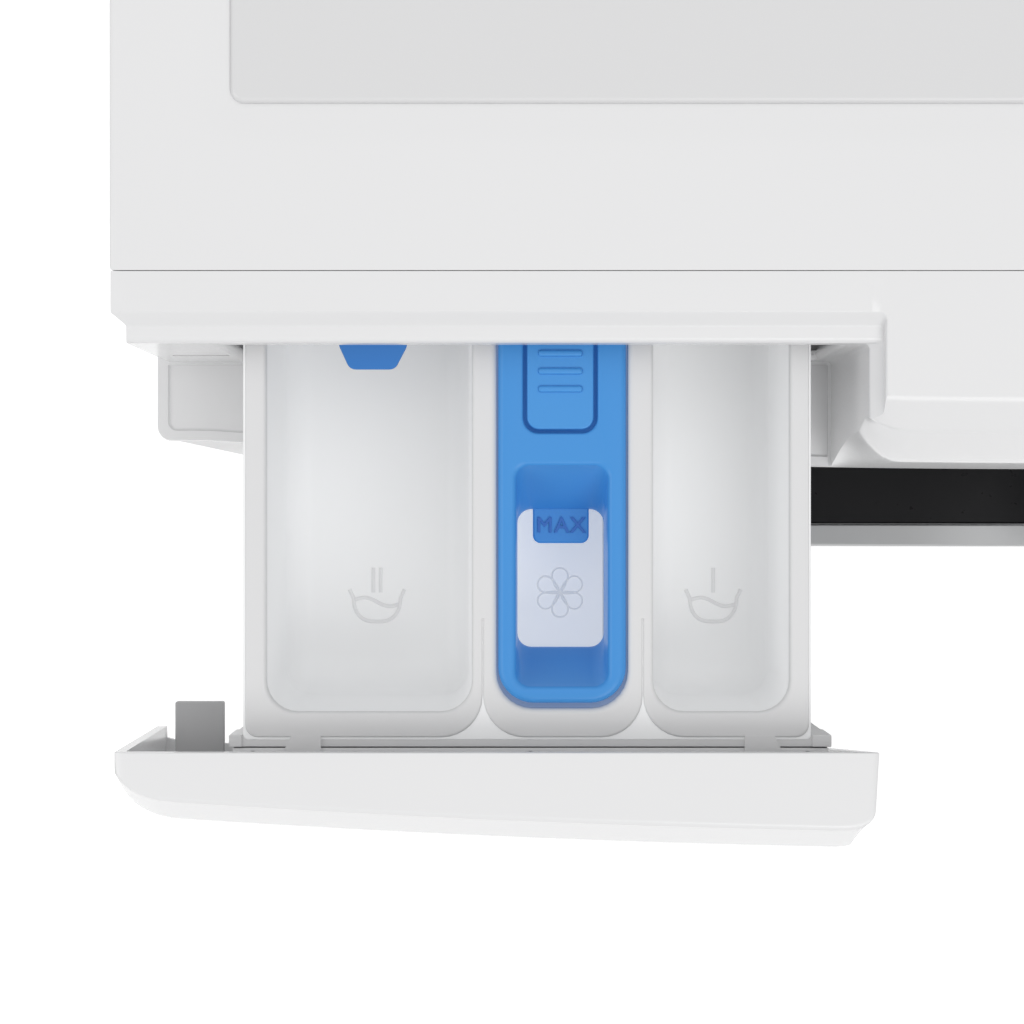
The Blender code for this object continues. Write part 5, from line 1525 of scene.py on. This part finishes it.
def make_side(name, node, side):
    """A side sheet with turned-in edges and a shallow pressed field."""
    low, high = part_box(node)
    wall, edge, fold = 0.0010, 0.0025, 0.0135
    face = high.x if side > 0 else low.x
    notch_y, notch_z = FRAME_LOW.y, TOP_Z - FASCIA_HEIGHT - 0.0004
    corners = [(low.y, low.z), (high.y, low.z), (high.y, high.z)]
    corners += [(notch_y, high.z), (notch_y, notch_z), (low.y, notch_z)]
    outline = fillet(corners, [0.0012, 0.0012, 0.0012, 0.0012, 0.0025, 0.0012], 3)
    cy, cz = (low.y + high.y) / 2, (low.z + high.z) / 2
    half_y, half_z = (high.y - low.y) / 2, (high.z - low.z) / 2

    def ring(inset, depth):
        keep_y, keep_z = 1 - inset / half_y, 1 - inset / half_z
        return [(face - side * depth, cy + (y - cy) * keep_y, cz + (z - cz) * keep_z) for y, z in outline]

    bm = bmesh.new()
    outer = [ring(0.0, fold)] + [ring(aside, short) for short, aside in round_edge(edge, 5)]
    skin = add_loft(bm, outer, cap_first=False, cap_last=False)
    inner = [ring(wall, fold), ring(wall, edge), ring(edge, wall)]
    lining = add_loft(bm, inner, cap_first=False, cap_last=False)
    bridge(bm, skin[0], lining[0])
    for rim, depth in ((skin[-1], 0.0), (lining[-1], wall)):
        field = add_loft(bm, field_rings(low, high, face, side, depth), cap_first=False, cap_last=False)
        fill_between(bm, rim, [field[0]])
        fill_between(bm, field[-1], [])
    piece(name, bm, "cabinet", [node], WHITE_ENAMEL, sharp=50)


def field_rings(low, high, face, side, depth):
    """Rings of the slope around a side sheet's pressed field, from its edge to its floor."""
    press, slope = 0.0016, 0.012
    rings = []
    for step in range(7):
        t = step / 6
        drop, inset = press * (t * t * (3 - 2 * t)), slope * t
        near, far = low.y + 0.050 + inset, high.y - 0.050 - inset
        bottom, top = low.z + 0.060 + inset, high.z - 0.130 - inset
        outline = round_rect(near, bottom, far, top, [0.045 - inset] * 4, 10)
        rings.append([(face - side * (depth + drop), y, z) for y, z in outline])
    return rings


def make_rear():
    """The zinc-coated back with its pressed ribs and domed service cover."""
    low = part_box("rear_panel")[0]
    bm = bmesh.new()
    outer_rim, outer_hole = add_back_skin(bm, low.y + BACK_WALL)
    inner_rim, inner_hole = add_back_skin(bm, low.y)
    bridge(bm, outer_rim, inner_rim)
    bridge(bm, outer_hole, inner_hole)
    piece("back_sheet", bm, "cabinet", ["rear_panel"], GALVANISED, sharp=45)


def add_back_skin(bm, y):
    """One face of the back sheet; returns its rim and the edge of the inlet's hole."""
    low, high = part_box("rear_panel")
    rim = [bm.verts.new(point) for point in in_front(inset_front(low, high, 0.0, [0.006] * 4, 4), y)]
    ribs = [rib_outline(x - 0.0085, 0.12, x + 0.0085, 0.70) for x in (-0.235, -0.190, 0.190, 0.235)]
    ribs += [rib_outline(-0.15, z - 0.0070, 0.15, z + 0.0070) for z in (0.095, 0.070)]
    holes = []
    for rib in ribs:
        rows = []
        for t, rise in ((0.0, 0.0), (0.3, 0.0007), (0.7, 0.0021), (1.0, 0.0026)):
            rows.append(in_front(offset_loop(rib, -0.0045 * t), y + rise))
        holes.append(add_raised(bm, rows))
    cover = [(0.162, 0.0), (0.160, 0.0003), (0.157, 0.0012), (0.152, 0.0013), (0.149, 0.0020)]
    cover += [(0.144, 0.0046), (0.140, 0.0050), (0.120, 0.0051), (0.117, 0.0044), (0.100, 0.0044)]
    cover += [(0.097, 0.0051), (0.060, 0.0051), (0.057, 0.0044), (0.040, 0.0044), (0.037, 0.0051)]
    steps = [in_front(circle(0.0, AXIS_Z, radius, 96), y + rise) for radius, rise in cover]
    holes.append(add_raised(bm, steps))
    inlet = in_front(circle(*front_centre("inlet_valve"), 0.0137, 40), y)
    holes.append([bm.verts.new(point) for point in inlet])
    fill_between(bm, rim, holes)
    return rim, holes[-1]


def add_raised(bm, rows):
    """A raised field with a flat top; returns its outer ring."""
    made = add_loft(bm, rows, cap_first=False, cap_last=False)
    fill_between(bm, made[-1], [])
    return made[0]


def rib_outline(left, bottom, right, top):
    """A long pressed rib with round ends."""
    radius = min(right - left, top - bottom) / 2 - 0.0001
    return round_rect(left, bottom, right, top, [radius] * 4, 6)


def make_back_screws():
    """Screws around the service cover and down both edges of the back."""
    low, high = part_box("rear_panel")
    face = low.y + BACK_WALL
    bm = bmesh.new()
    add_screw_circle(bm, 0.1550, face + 0.0013, 0.0038)
    for x in (low.x + 0.012, high.x - 0.012):
        for z in spread(low.z + 0.030, high.z - 0.020, 6):
            add_screw(bm, Vector((x, face, z)), 0.0038)
    piece("back_screws", bm, "cabinet", [], SPRING_STEEL)


def make_inlet():
    """The water inlet valve with its threaded spout."""
    low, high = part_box("inlet_valve")
    x, z = front_centre("inlet_valve")
    face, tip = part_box("rear_panel")[0].y + BACK_WALL, high.y
    bm = bmesh.new()
    add_box(bm, (low.x, low.y, low.z), (high.x, face - 0.0016, high.z), 0.0030, 3)
    piece("inlet_valve_body", bm, "cabinet", ["inlet_valve"], LIGHT_GREY)
    profile = [(0.0095, face - 0.0010), (0.0124, face - 0.0010), (0.0124, face + 0.0014)]
    turns = 5
    start, end = face + 0.0018, tip - 0.0012
    pitch = (end - start) / turns
    for k in range(turns):
        y = start + k * pitch
        for radius, part in ((0.0119, 0.0), (0.0130, 0.35), (0.0130, 0.6), (0.0119, 0.92)):
            profile.append((radius, y + pitch * part))
    profile += [(0.0119, tip - 0.0005), (0.0113, tip), (0.0100, tip), (0.0095, tip - 0.0005)]
    turned_piece("inlet_thread", profile, "cabinet", [], LIGHT_GREY, x, z, 48, 35)


def make_outlet():
    """The drain outlet, a barbed spigot on a round flange."""
    low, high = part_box("drain_outlet")
    x, z = front_centre("drain_outlet")
    wide, near, far = (high.x - low.x) / 2, low.y, high.y
    profile = [
        (wide - 0.0004, near), (wide, near + 0.0004), (wide, near + 0.0026), (wide - 0.0018, near + 0.0034),
        (0.0103, near + 0.0080), (0.0110, near + 0.0086), (0.0103, near + 0.0112), (0.0103, near + 0.0126),
        (0.0110, near + 0.0132), (0.0100, far - 0.0004), (0.0094, far), (0.0085, far), (0.0085, near),
    ]
    turned_piece("drain_spigot", profile, "cabinet", ["drain_outlet"], GREY_PLASTIC, x, z, 48, 35)


def make_foot(node):
    """An adjustable foot: rubber pad, hexagon and threaded stud."""
    low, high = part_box(node)
    place = ((low.x + high.x) / 2, (low.y + high.y) / 2, 0)
    pad = [
        (0.0, 0.0006), (0.0150, 0.0006), (0.0165, 0.0), (0.0202, 0.0), (0.0210, 0.0010), (0.0210, 0.0030),
        (0.0198, 0.0062), (0.0168, 0.0086), (0.0150, 0.0092), (0.0, 0.0092),
    ]
    nut = [(0.0, 0.0090), (0.0104, 0.0090), (0.0110, 0.0096)]
    nut += [(0.0110, 0.0132), (0.0104, 0.0138), (0.0, 0.0138)]
    turns = 12
    pitch = (high.z - 0.0150) / turns
    stud = [(0.0, 0.0130), (0.0042, 0.0130)]
    for k in range(turns):
        thread = 0.0140 + k * pitch
        stud += [(0.0043, thread), (0.0050, thread + pitch * 0.5)]
    stud += [(0.0040, high.z - 0.0004), (0.0, high.z - 0.0004)]
    bm = bmesh.new()
    add_upright(bm, pad, place, 48)
    piece(node + "_pad", bm, node, [node], RUBBER_BLACK, sharp=35)
    bm = bmesh.new()
    add_upright(bm, nut, place, 6)
    add_upright(bm, stud, place, 24)
    piece(node + "_stud", bm, node, [], SPRING_STEEL, sharp=25)


def make_hatch():
    """The service hatch with a finger recess."""
    low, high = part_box("filter_hatch")
    rows = []
    for inset, y in ((0.0, high.y), (0.0, low.y + 0.0008), (0.0003, low.y + 0.0002), (0.0010, low.y)):
        rows.append(in_front(inset_front(low, high, inset, [0.0055 - inset] * 4, 8), y))
    bm = bmesh.new()
    made = add_loft(bm, rows, cap_last=False)
    left, right = (low.x + high.x) / 2 - 0.017, (low.x + high.x) / 2 + 0.017
    bottom, top = high.z - 0.019, high.z - 0.007
    rows = []
    for t in range(6):
        angle = math.pi / 2 * t / 5
        inset = 0.0030 * math.sin(angle)
        radii = [0.0058 - inset * 0.8] * 4
        outline = round_rect(left + inset, bottom + inset, right - inset, top - inset, radii, 8)
        rows.append(in_front(outline, low.y + 0.0012 * (1 - math.cos(angle))))
    dip = add_loft(bm, rows, cap_first=False, cap_last=False)
    fill_between(bm, made[-1], [dip[0]])
    fill_between(bm, dip[-1], [])
    piece("hatch_cover", bm, "hatch", ["filter_hatch"], WHITE_HATCH, sharp=50)


def make_filter_cap():
    """The pump filter's cap, with a knurled rim and a grip bar."""
    low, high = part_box("pump_filter")
    x, z = front_centre("pump_filter")
    radius, face = high.x - x, low.y + 0.0120
    profile = [
        (0.0, face, 0), (0.0250, face, 0), (0.0262, face + 0.0006, 0), (radius - 0.0010, face + 0.0006, 1),
        (radius, face + 0.0016, 1), (radius, face + 0.0100, 1), (radius - 0.0030, face + 0.0106, 0),
        (radius - 0.0040, high.y - 0.0010, 0), (radius - 0.0050, high.y, 0), (0.0, high.y, 0),
    ]
    bm = bmesh.new()
    add_fluted(bm, profile, x, z, 96, 24, 0.0004)
    add_box(bm, (x - 0.0218, low.y, z - 0.0042), (x + 0.0218, face + 0.0010, z + 0.0042), 0.0016, 3)
    piece("filter_cap", bm, "filter", ["pump_filter"], GREY_PLASTIC, sharp=35)


# ---------------------------------------------------------------- washing group


def make_drum():
    """The perforated steel drum with its rolled mouth."""
    low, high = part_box("drum")
    radius = high.x
    front, back = low.y, high.y
    mouth = 0.150
    outer = [
        (radius - 0.0040, front), (radius - 0.0012, front + 0.0012), (radius, front + 0.0040),
        (radius, front + 0.0160), (radius - 0.0020, front + 0.0185), (radius - 0.0020, front + 0.0225),
        (radius, front + 0.0250), (radius, back - 0.0260), (radius - 0.0020, back - 0.0235),
        (radius - 0.0020, back - 0.0195), (radius, back - 0.0170), (radius, back - 0.0040),
        (radius - 0.0012, back - 0.0012), (radius - 0.0040, back), (0.2250, back - 0.0005),
        (0.2100, back - 0.0045), (0.1700, back - 0.0060), (0.1000, back - 0.0030),
        (0.0600, back - 0.0006), (0.0, back),
    ]
    wall = 0.0009
    inner = [
        (0.0, back - wall), (0.0600, back - wall - 0.0006), (0.1000, back - wall - 0.0030),
        (0.1700, back - wall - 0.0060), (0.2096, back - wall - 0.0045), (0.2246, back - wall - 0.0005),
        (radius - 0.0044, back - wall), (radius - 0.0020, back - 0.0019), (radius - wall, back - 0.0044),
        (radius - wall, back - 0.0166), (radius - wall - 0.0020, back - 0.0193),
        (radius - wall - 0.0020, back - 0.0237), (radius - wall, back - 0.0264),
        (radius - wall, front + 0.0254), (radius - wall - 0.0020, front + 0.0227),
        (radius - wall - 0.0020, front + 0.0183), (radius - wall, front + 0.0156),
        (radius - wall, front + 0.0044), (radius - 0.0020, front + 0.0019),
        (radius - 0.0044, front + wall), (0.1900, front + wall), (mouth + 0.0060, front + wall),
        (mouth + 0.0026, front + 0.0024), (mouth + 0.0014, front + 0.0050),
        (mouth + 0.0010, front + 0.0085), (mouth + 0.0002, front + 0.0092),
        (mouth - 0.0008, front + 0.0085), (mouth - 0.0002, front + 0.0048),
        (mouth + 0.0016, front + 0.0016), (mouth + 0.0055, front), (0.1900, front),
    ]
    bm = bmesh.new()
    add_turned(bm, outer + inner, sides=144)
    piece("drum_shell", bm, "drum_group", ["drum"], perforated_steel(), sharp=50)


def make_lifter(number):
    """A moulded paddle with a rounded ridge, gently waved along its length."""
    node = "drum_lifter_" + str(number)
    low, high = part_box(node)
    turn = math.radians((90, 210, 330)[number - 1])
    foot = -high_reach()
    length = high.y - low.y
    half, ridge, height = 0.0290, 0.0085, 0.0415
    section = []
    steps = 10
    for i in range(steps + 1):
        t = i / steps
        section.append((half - (half - ridge) * (t * t * (3 - 2 * t)), height * t))
    for i in range(1, 6):
        angle = math.pi * i / 6
        section.append((ridge * math.cos(angle), height - 0.0008 + 0.0008 * math.sin(angle)))
    for i in range(steps, -1, -1):
        t = i / steps
        section.append((-(half - (half - ridge) * (t * t * (3 - 2 * t))), height * t))
    rows = []
    bm = bmesh.new()
    count = 28
    for k in range(count + 1):
        t = k / count
        y = low.y + length * t
        near_end = min(t, 1 - t) * length
        rise = min(1.0, near_end / 0.022)
        rise = 0.04 + 0.96 * math.sqrt(max(0.0, 1 - (1 - rise) ** 2))
        wave = 1.0 - 0.05 * (0.5 - 0.5 * math.cos(2 * math.pi * t * 4))
        rows.append([(u * (0.72 + 0.28 * rise), y, v * rise * wave) for u, v in section])
    add_loft(bm, rows)
    about_axis = Matrix.Translation((0, 0, AXIS_Z)) @ Matrix.Rotation(turn, 4, "Y")
    place = about_axis @ Matrix.Translation((0, 0, foot))
    bmesh.ops.transform(bm, matrix=place, verts=bm.verts)
    piece("drum_paddle_" + str(number), bm, "drum_group", [node], LIGHT_GREY, sharp=50)


def high_reach():
    """How far below the axis a lifter's foot stands, just inside the drum wall."""
    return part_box("drum")[1].x - 0.0054


def maths(nodes, links, operation, *values):
    """Add a maths node for values that are numbers or other nodes' outputs."""
    node = nodes.new("ShaderNodeMath")
    node.operation = operation
    for slot, value in enumerate(values):
        if isinstance(value, (int, float)):
            node.inputs[slot].default_value = value
        else:
            links.new(value, node.inputs[slot])
    return node.outputs["Value"]


def drum_holes(nodes, links):
    """Staggered rows of holes: which points lie in one, and how far off its middle they are."""

    def work(operation, *values):
        return maths(nodes, links, operation, *values)

    parts = nodes.new("ShaderNodeSeparateXYZ")
    links.new(stretched_place(nodes, links, (1, 1, 1)), parts.inputs["Vector"])
    level = work("SUBTRACT", parts.outputs["Z"], AXIS_Z)
    angle = work("ARCTAN2", level, parts.outputs["X"])
    across = work("MULTIPLY", angle, 96 / (2 * math.pi))
    along = work("MULTIPLY", parts.outputs["Y"], 1 / 0.0145)
    stagger = work("MULTIPLY", work("MODULO", work("FLOOR", along), 2.0), 0.5)
    u = work("SUBTRACT", work("FRACT", work("ADD", across, stagger)), 0.5)
    v = work("SUBTRACT", work("FRACT", along), 0.5)
    distance = work("SQRT", work("ADD", work("MULTIPLY", u, u), work("MULTIPLY", v, v)))
    radial = work("SQRT", work("ADD", work("POWER", level, 2.0), work("POWER", parts.outputs["X"], 2.0)))
    on_wall = work("GREATER_THAN", radial, 0.2380)
    return work("MULTIPLY", work("LESS_THAN", distance, 0.13), on_wall), distance


def perforated_steel():
    """Polished steel with rows of small holes around the drum's wall, coloured near-black as painted shade.
    """
    made, nodes, links = new_material("drum_steel")
    shader = nodes["Principled BSDF"]
    holes, distance = drum_holes(nodes, links)
    # painted shade: the holes are coloured near-black and lose their metal, standing in for the shade of the
    # space behind them
    blend_colours(nodes, links, shader, holes, (0.62, 0.63, 0.64), (0.03, 0.03, 0.03))
    links.new(maths(nodes, links, "SUBTRACT", 1.0, holes), shader.inputs["Metallic"])
    brushed = noise(nodes, links, stretched_place(nodes, links, (1, 14, 1)), 60.0)
    vary_roughness(nodes, links, shader, brushed, 0.16, 0.30)
    hollow = nodes.new("ShaderNodeMapRange")
    hollow.inputs["From Min"].default_value = 0.10
    hollow.inputs["From Max"].default_value = 0.22
    links.new(distance, hollow.inputs["Value"])
    add_relief(nodes, links, shader, hollow.outputs["Result"], 0.6, 0.0010)
    return made


def make_bellows():
    """The folded door seal, from the porthole's rim to the tub's mouth."""
    low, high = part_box("door_bellows")
    outer = high.x
    front, back = low.y, high.y
    centre = [
        (outer - 0.0012, front + 0.0012), (outer - 0.0014, front + 0.0070), (outer - 0.0040, front + 0.0120),
        (outer - 0.0085, front + 0.0155), (outer - 0.0096, front + 0.0210), (outer - 0.0070, front + 0.0250),
        (outer - 0.0068, front + 0.0290), (outer - 0.0096, front + 0.0330), (outer - 0.0098, front + 0.0380),
        (outer - 0.0072, front + 0.0420), (outer - 0.0072, front + 0.0470), (outer - 0.0096, front + 0.0510),
        (outer - 0.0098, back - 0.0012),
    ]
    dense = []
    for k in range(len(centre) - 1):
        for i in range(3):
            dense.append(curve_point(centre, k, i / 3))
    dense.append(centre[-1])
    thick = 0.0011
    near, far = [], []
    for k, (r, y) in enumerate(dense):
        before, after = dense[max(k - 1, 0)], dense[min(k + 1, len(dense) - 1)]
        along = Vector((after[0] - before[0], after[1] - before[1])).normalized()
        side = Vector((along.y, -along.x)) * thick
        near.append((r + side.x, y + side.y))
        far.append((r - side.x, y - side.y))
    bm = bmesh.new()
    add_turned(bm, near + far[::-1], sides=128)
    item = piece("door_seal", bm, "cabinet", ["door_bellows"], RUBBER_GREY, sharp=60)
    return item, (0, front + 0.012, AXIS_Z), (0, back - 0.004, AXIS_Z)


def make_springs():
    """Two close-wound springs with hooked ends, which stretch between the brace and the tub."""
    made = []
    for side in ("left", "right"):
        node = "suspension_spring_" + side
        low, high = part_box(node)
        x, y = (low.x + high.x) / 2, (low.y + high.y) / 2
        coil = (high.x - low.x) / 2 - 0.0014
        turns, steps = 30, 14
        bottom, top = low.z + 0.0160, high.z - 0.0160
        points = hook_points(x, y, low.z + 0.0016, bottom, coil, 1)
        for i in range(turns * steps + 1):
            angle = 2 * math.pi * i / steps
            z = bottom + (top - bottom) * i / (turns * steps)
            points.append((x + coil * math.cos(angle), y + coil * math.sin(angle), z))
        points += hook_points(x, y, high.z - 0.0016, top, coil, -1)[::-1]
        bm = bmesh.new()
        add_tube(bm, points, 0.0014, sides=8)
        item = piece("hanger_spring_" + side, bm, "cabinet", [node], SPRING_STEEL, sharp=70)
        made.append((item, (x, y, high.z), (x, y, low.z)))
    return made


def hook_points(x, y, end, start, coil, way):
    """A curve from a spring's straight end to the start of its first turn."""
    points = [(x, y, end), (x, y, end + way * 0.006)]
    for i in range(1, 6):
        t = i / 6
        ease = t * t * (3 - 2 * t)
        points.append((x + coil * ease, y, end + way * 0.006 + (start - end - way * 0.006) * t))
    return points


def ribbed_tube(bm, route, radius, ridge, pitch, sides=28):
    """A corrugated hose along a smooth route."""
    dense = []
    for k in range(len(route) - 1):
        for i in range(16):
            dense.append(curve_point(route, k, i / 16))
    dense.append(Vector(route[-1]))
    length = 0.0
    reached = [0.0]
    for a, b in zip(dense, dense[1:]):
        length += (b - a).length
        reached.append(length)
    count = int(length / (pitch / 6))
    centre, scale = [], []
    slot = 0
    for i in range(count + 1):
        want = length * i / count
        while slot < len(reached) - 2 and reached[slot + 1] < want:
            slot += 1
        part = (want - reached[slot]) / max(reached[slot + 1] - reached[slot], 1e-9)
        centre.append(dense[slot].lerp(dense[slot + 1], part))
        near_end = min(want, length - want) < 0.012
        scale.append(1.0 if near_end else 1.0 - ridge * (0.5 - 0.5 * math.cos(2 * math.pi * want / pitch)))
    rows = []
    side_way = None
    for i, here in enumerate(centre):
        along = (centre[min(i + 1, count)] - centre[max(i - 1, 0)]).normalized()
        if side_way is None:
            side_way = Vector((1, 0, 0)) if abs(along.x) < 0.9 else Vector((0, 1, 0))
        side_way = (side_way - along * side_way.dot(along)).normalized()
        up = side_way.cross(along)
        row = []
        for k in range(sides):
            angle = 2 * math.pi * k / sides
            row.append(here + (side_way * math.cos(angle) + up * math.sin(angle)) * radius * scale[i])
        rows.append(row)
    add_loft(bm, rows)


def curve_point(points, k, t):
    """A point on a smooth curve through points, between number k and the next."""
    p0, p1 = Vector(points[max(k - 1, 0)]), Vector(points[k])
    p2, p3 = Vector(points[k + 1]), Vector(points[min(k + 2, len(points) - 1)])
    bend = 2 * p0 - 5 * p1 + 4 * p2 - p3
    return 0.5 * (2 * p1 + (p2 - p0) * t + bend * t * t + (3 * p1 - p0 - 3 * p2 + p3) * t**3)


def make_hoses():
    """The inner hoses from the dispenser to the tub and from the tub to the pump."""
    made = []
    low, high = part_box("dispenser_hose")
    x, y = (low.x + high.x) / 2, (low.y + high.y) / 2
    route = [(x, y, high.z), (x, y, high.z - 0.03)]
    route += [(x + 0.001, y, (low.z + high.z) / 2), (x + 0.001, y, low.z)]
    bm = bmesh.new()
    ribbed_tube(bm, route, 0.0124, 0.10, 0.0060)
    item = piece("filling_hose", bm, "cabinet", ["dispenser_hose"], RUBBER_BLACK, sharp=70)
    made.append((item, (x, y, high.z - 0.015), (x, y, low.z + 0.010)))
    low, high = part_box("sump_hose")
    radius = 0.014
    start = (low.x + radius, high.y - radius, high.z)
    route = [
        start, (start[0], start[1], high.z - 0.030), (start[0] + 0.010, start[1], high.z - 0.052),
        (start[0] + 0.035, start[1] - 0.002, low.z + 0.017),
        (high.x - 0.050, start[1] - 0.004, low.z + radius + 0.0005),
        (high.x, low.y + radius + 0.0002, low.z + radius + 0.0005),
    ]
    bm = bmesh.new()
    ribbed_tube(bm, route, 0.0136, 0.10, 0.0070)
    item = piece("drain_hose_inner", bm, "cabinet", ["sump_hose"], RUBBER_BLACK, sharp=70)
    made.append((item, (start[0], start[1], low.z + 0.030), (start[0], start[1], high.z - 0.008)))
    return made


def dress_inner_parts():
    """Materials for the machined, moulded and cast parts that keep their plain solids."""
    finishes = {
        "base_frame": GREY_PLASTIC, "top_brace": GALVANISED, "control_board": BOARD_GREEN,
        "door_lock": DARK_PLASTIC, "damper_cylinder_left": DARK_PLASTIC,
        "damper_cylinder_right": DARK_PLASTIC, "drain_pump": GREY_PLASTIC, "tub_front": TUB_PLASTIC,
        "tub_rear": TUB_PLASTIC, "front_counterweight": CONCRETE, "top_counterweight": CONCRETE,
        "heater": STEEL, "damper_rod_left": GREY_PLASTIC, "damper_rod_right": GREY_PLASTIC,
        "motor_housing": MOTOR_STEEL, "drive_belt": RUBBER_BLACK, "drum_bearings": STEEL,
        "drum_spider": CAST_METAL, "drum_pulley": CAST_METAL, "motor_pulley": STEEL,
    }
    for node, finish in finishes.items():
        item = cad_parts[node]
        for number in range(len(item.material_slots)):
            item.material_slots[number].material = finish


# ---------------------------------------------------------------- stage


def make_floor():
    """A plain white floor, set just below the feet."""
    bm = bmesh.new()
    bmesh.ops.create_grid(bm, x_segments=1, y_segments=1, size=6.0)
    mesh = bpy.data.meshes.new("floor")
    bm.to_mesh(mesh)
    bm.free()
    floor = bpy.data.objects.new("floor", mesh)
    floor.location = (0, 0, -0.0002)
    bpy.context.scene.collection.objects.link(floor)
    made = new_material("floor_white")[0]
    shader = made.node_tree.nodes["Principled BSDF"]
    shader.inputs["Base Color"].default_value = (0.88, 0.88, 0.88, 1)
    shader.inputs["Roughness"].default_value = 0.9
    shader.inputs["Emission Color"].default_value = (1, 1, 1, 1)
    shader.inputs["Emission Strength"].default_value = 0.32
    mesh.materials.append(made)


def make_lights():
    """An even white surrounding and three soft studio lights."""
    world = bpy.data.worlds.new("studio")
    world.use_nodes = True
    sky = world.node_tree.nodes["Background"]
    sky.inputs["Color"].default_value = (1, 1, 1, 1)
    sky.inputs["Strength"].default_value = 0.60
    bpy.context.scene.world = world
    lights = (
        ("soft_top", (0.4, 0.6, 3.3), 2.2, 10),
        ("soft_left", (-2.2, -0.6, 2.6), 1.6, 17),
        ("soft_front", (0.7, -1.8, 3.0), 1.4, 23),
    )
    for name, place, size, power in lights:
        lamp = bpy.data.lights.new(name, "AREA")
        lamp.size = size
        lamp.energy = power
        item = bpy.data.objects.new(name, lamp)
        item.location = place
        aim = Vector((0, 0, 0.6)) - Vector(place)
        item.rotation_euler = aim.to_track_quat("-Z", "Y").to_euler()
        bpy.context.scene.collection.objects.link(item)
    bpy.context.scene.view_settings.view_transform = "Standard"


def make_camera():
    """Straight down on the front left corner of the top."""
    height = 0.780
    sensor = 0.036
    view_width = 0.3012  # width of the top plane that the picture spans
    data = bpy.data.cameras.new("camera")
    data.sensor_width = sensor * 1000
    data.lens = sensor * 1000 * height / view_width
    camera = bpy.data.objects.new("camera", data)
    camera.location = (-0.1815, FRONT_Y - 0.0143, TOP_Z + height)
    bpy.context.scene.collection.objects.link(camera)
    bpy.context.scene.camera = camera


make_camera()
make_worktop()
make_board()
make_fascia()
make_housing()
make_drawer_front()
make_tray()
make_tray_rims()
make_tray_front()
make_icons()
make_siphon()
make_level_tab()
make_release_tab()
make_liquid_flap()
make_door_surround()
make_chrome_ring()
make_door_bowl()
make_door_back()
make_door_screws()
make_hinge()
make_hook()
make_knob()
make_marks()
make_display()
make_display_marks()
make_start_button()
make_option_button()
make_front_panel()
make_side("side_sheet_left", "side_panel_left", -1)
make_side("side_sheet_right", "side_panel_right", 1)
make_rear()
make_back_screws()
make_inlet()
make_outlet()
for foot in ("foot_front_left", "foot_front_right", "foot_rear_left", "foot_rear_right"):
    make_foot(foot)
make_hatch()
make_filter_cap()
make_drum()
for number in (1, 2, 3):
    make_lifter(number)
soft_links = [make_bellows()] + make_springs() + make_hoses()
for item, start, end in soft_links:
    item.parent = None
    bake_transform(item)
dress_inner_parts()
make_floor()
make_lights()
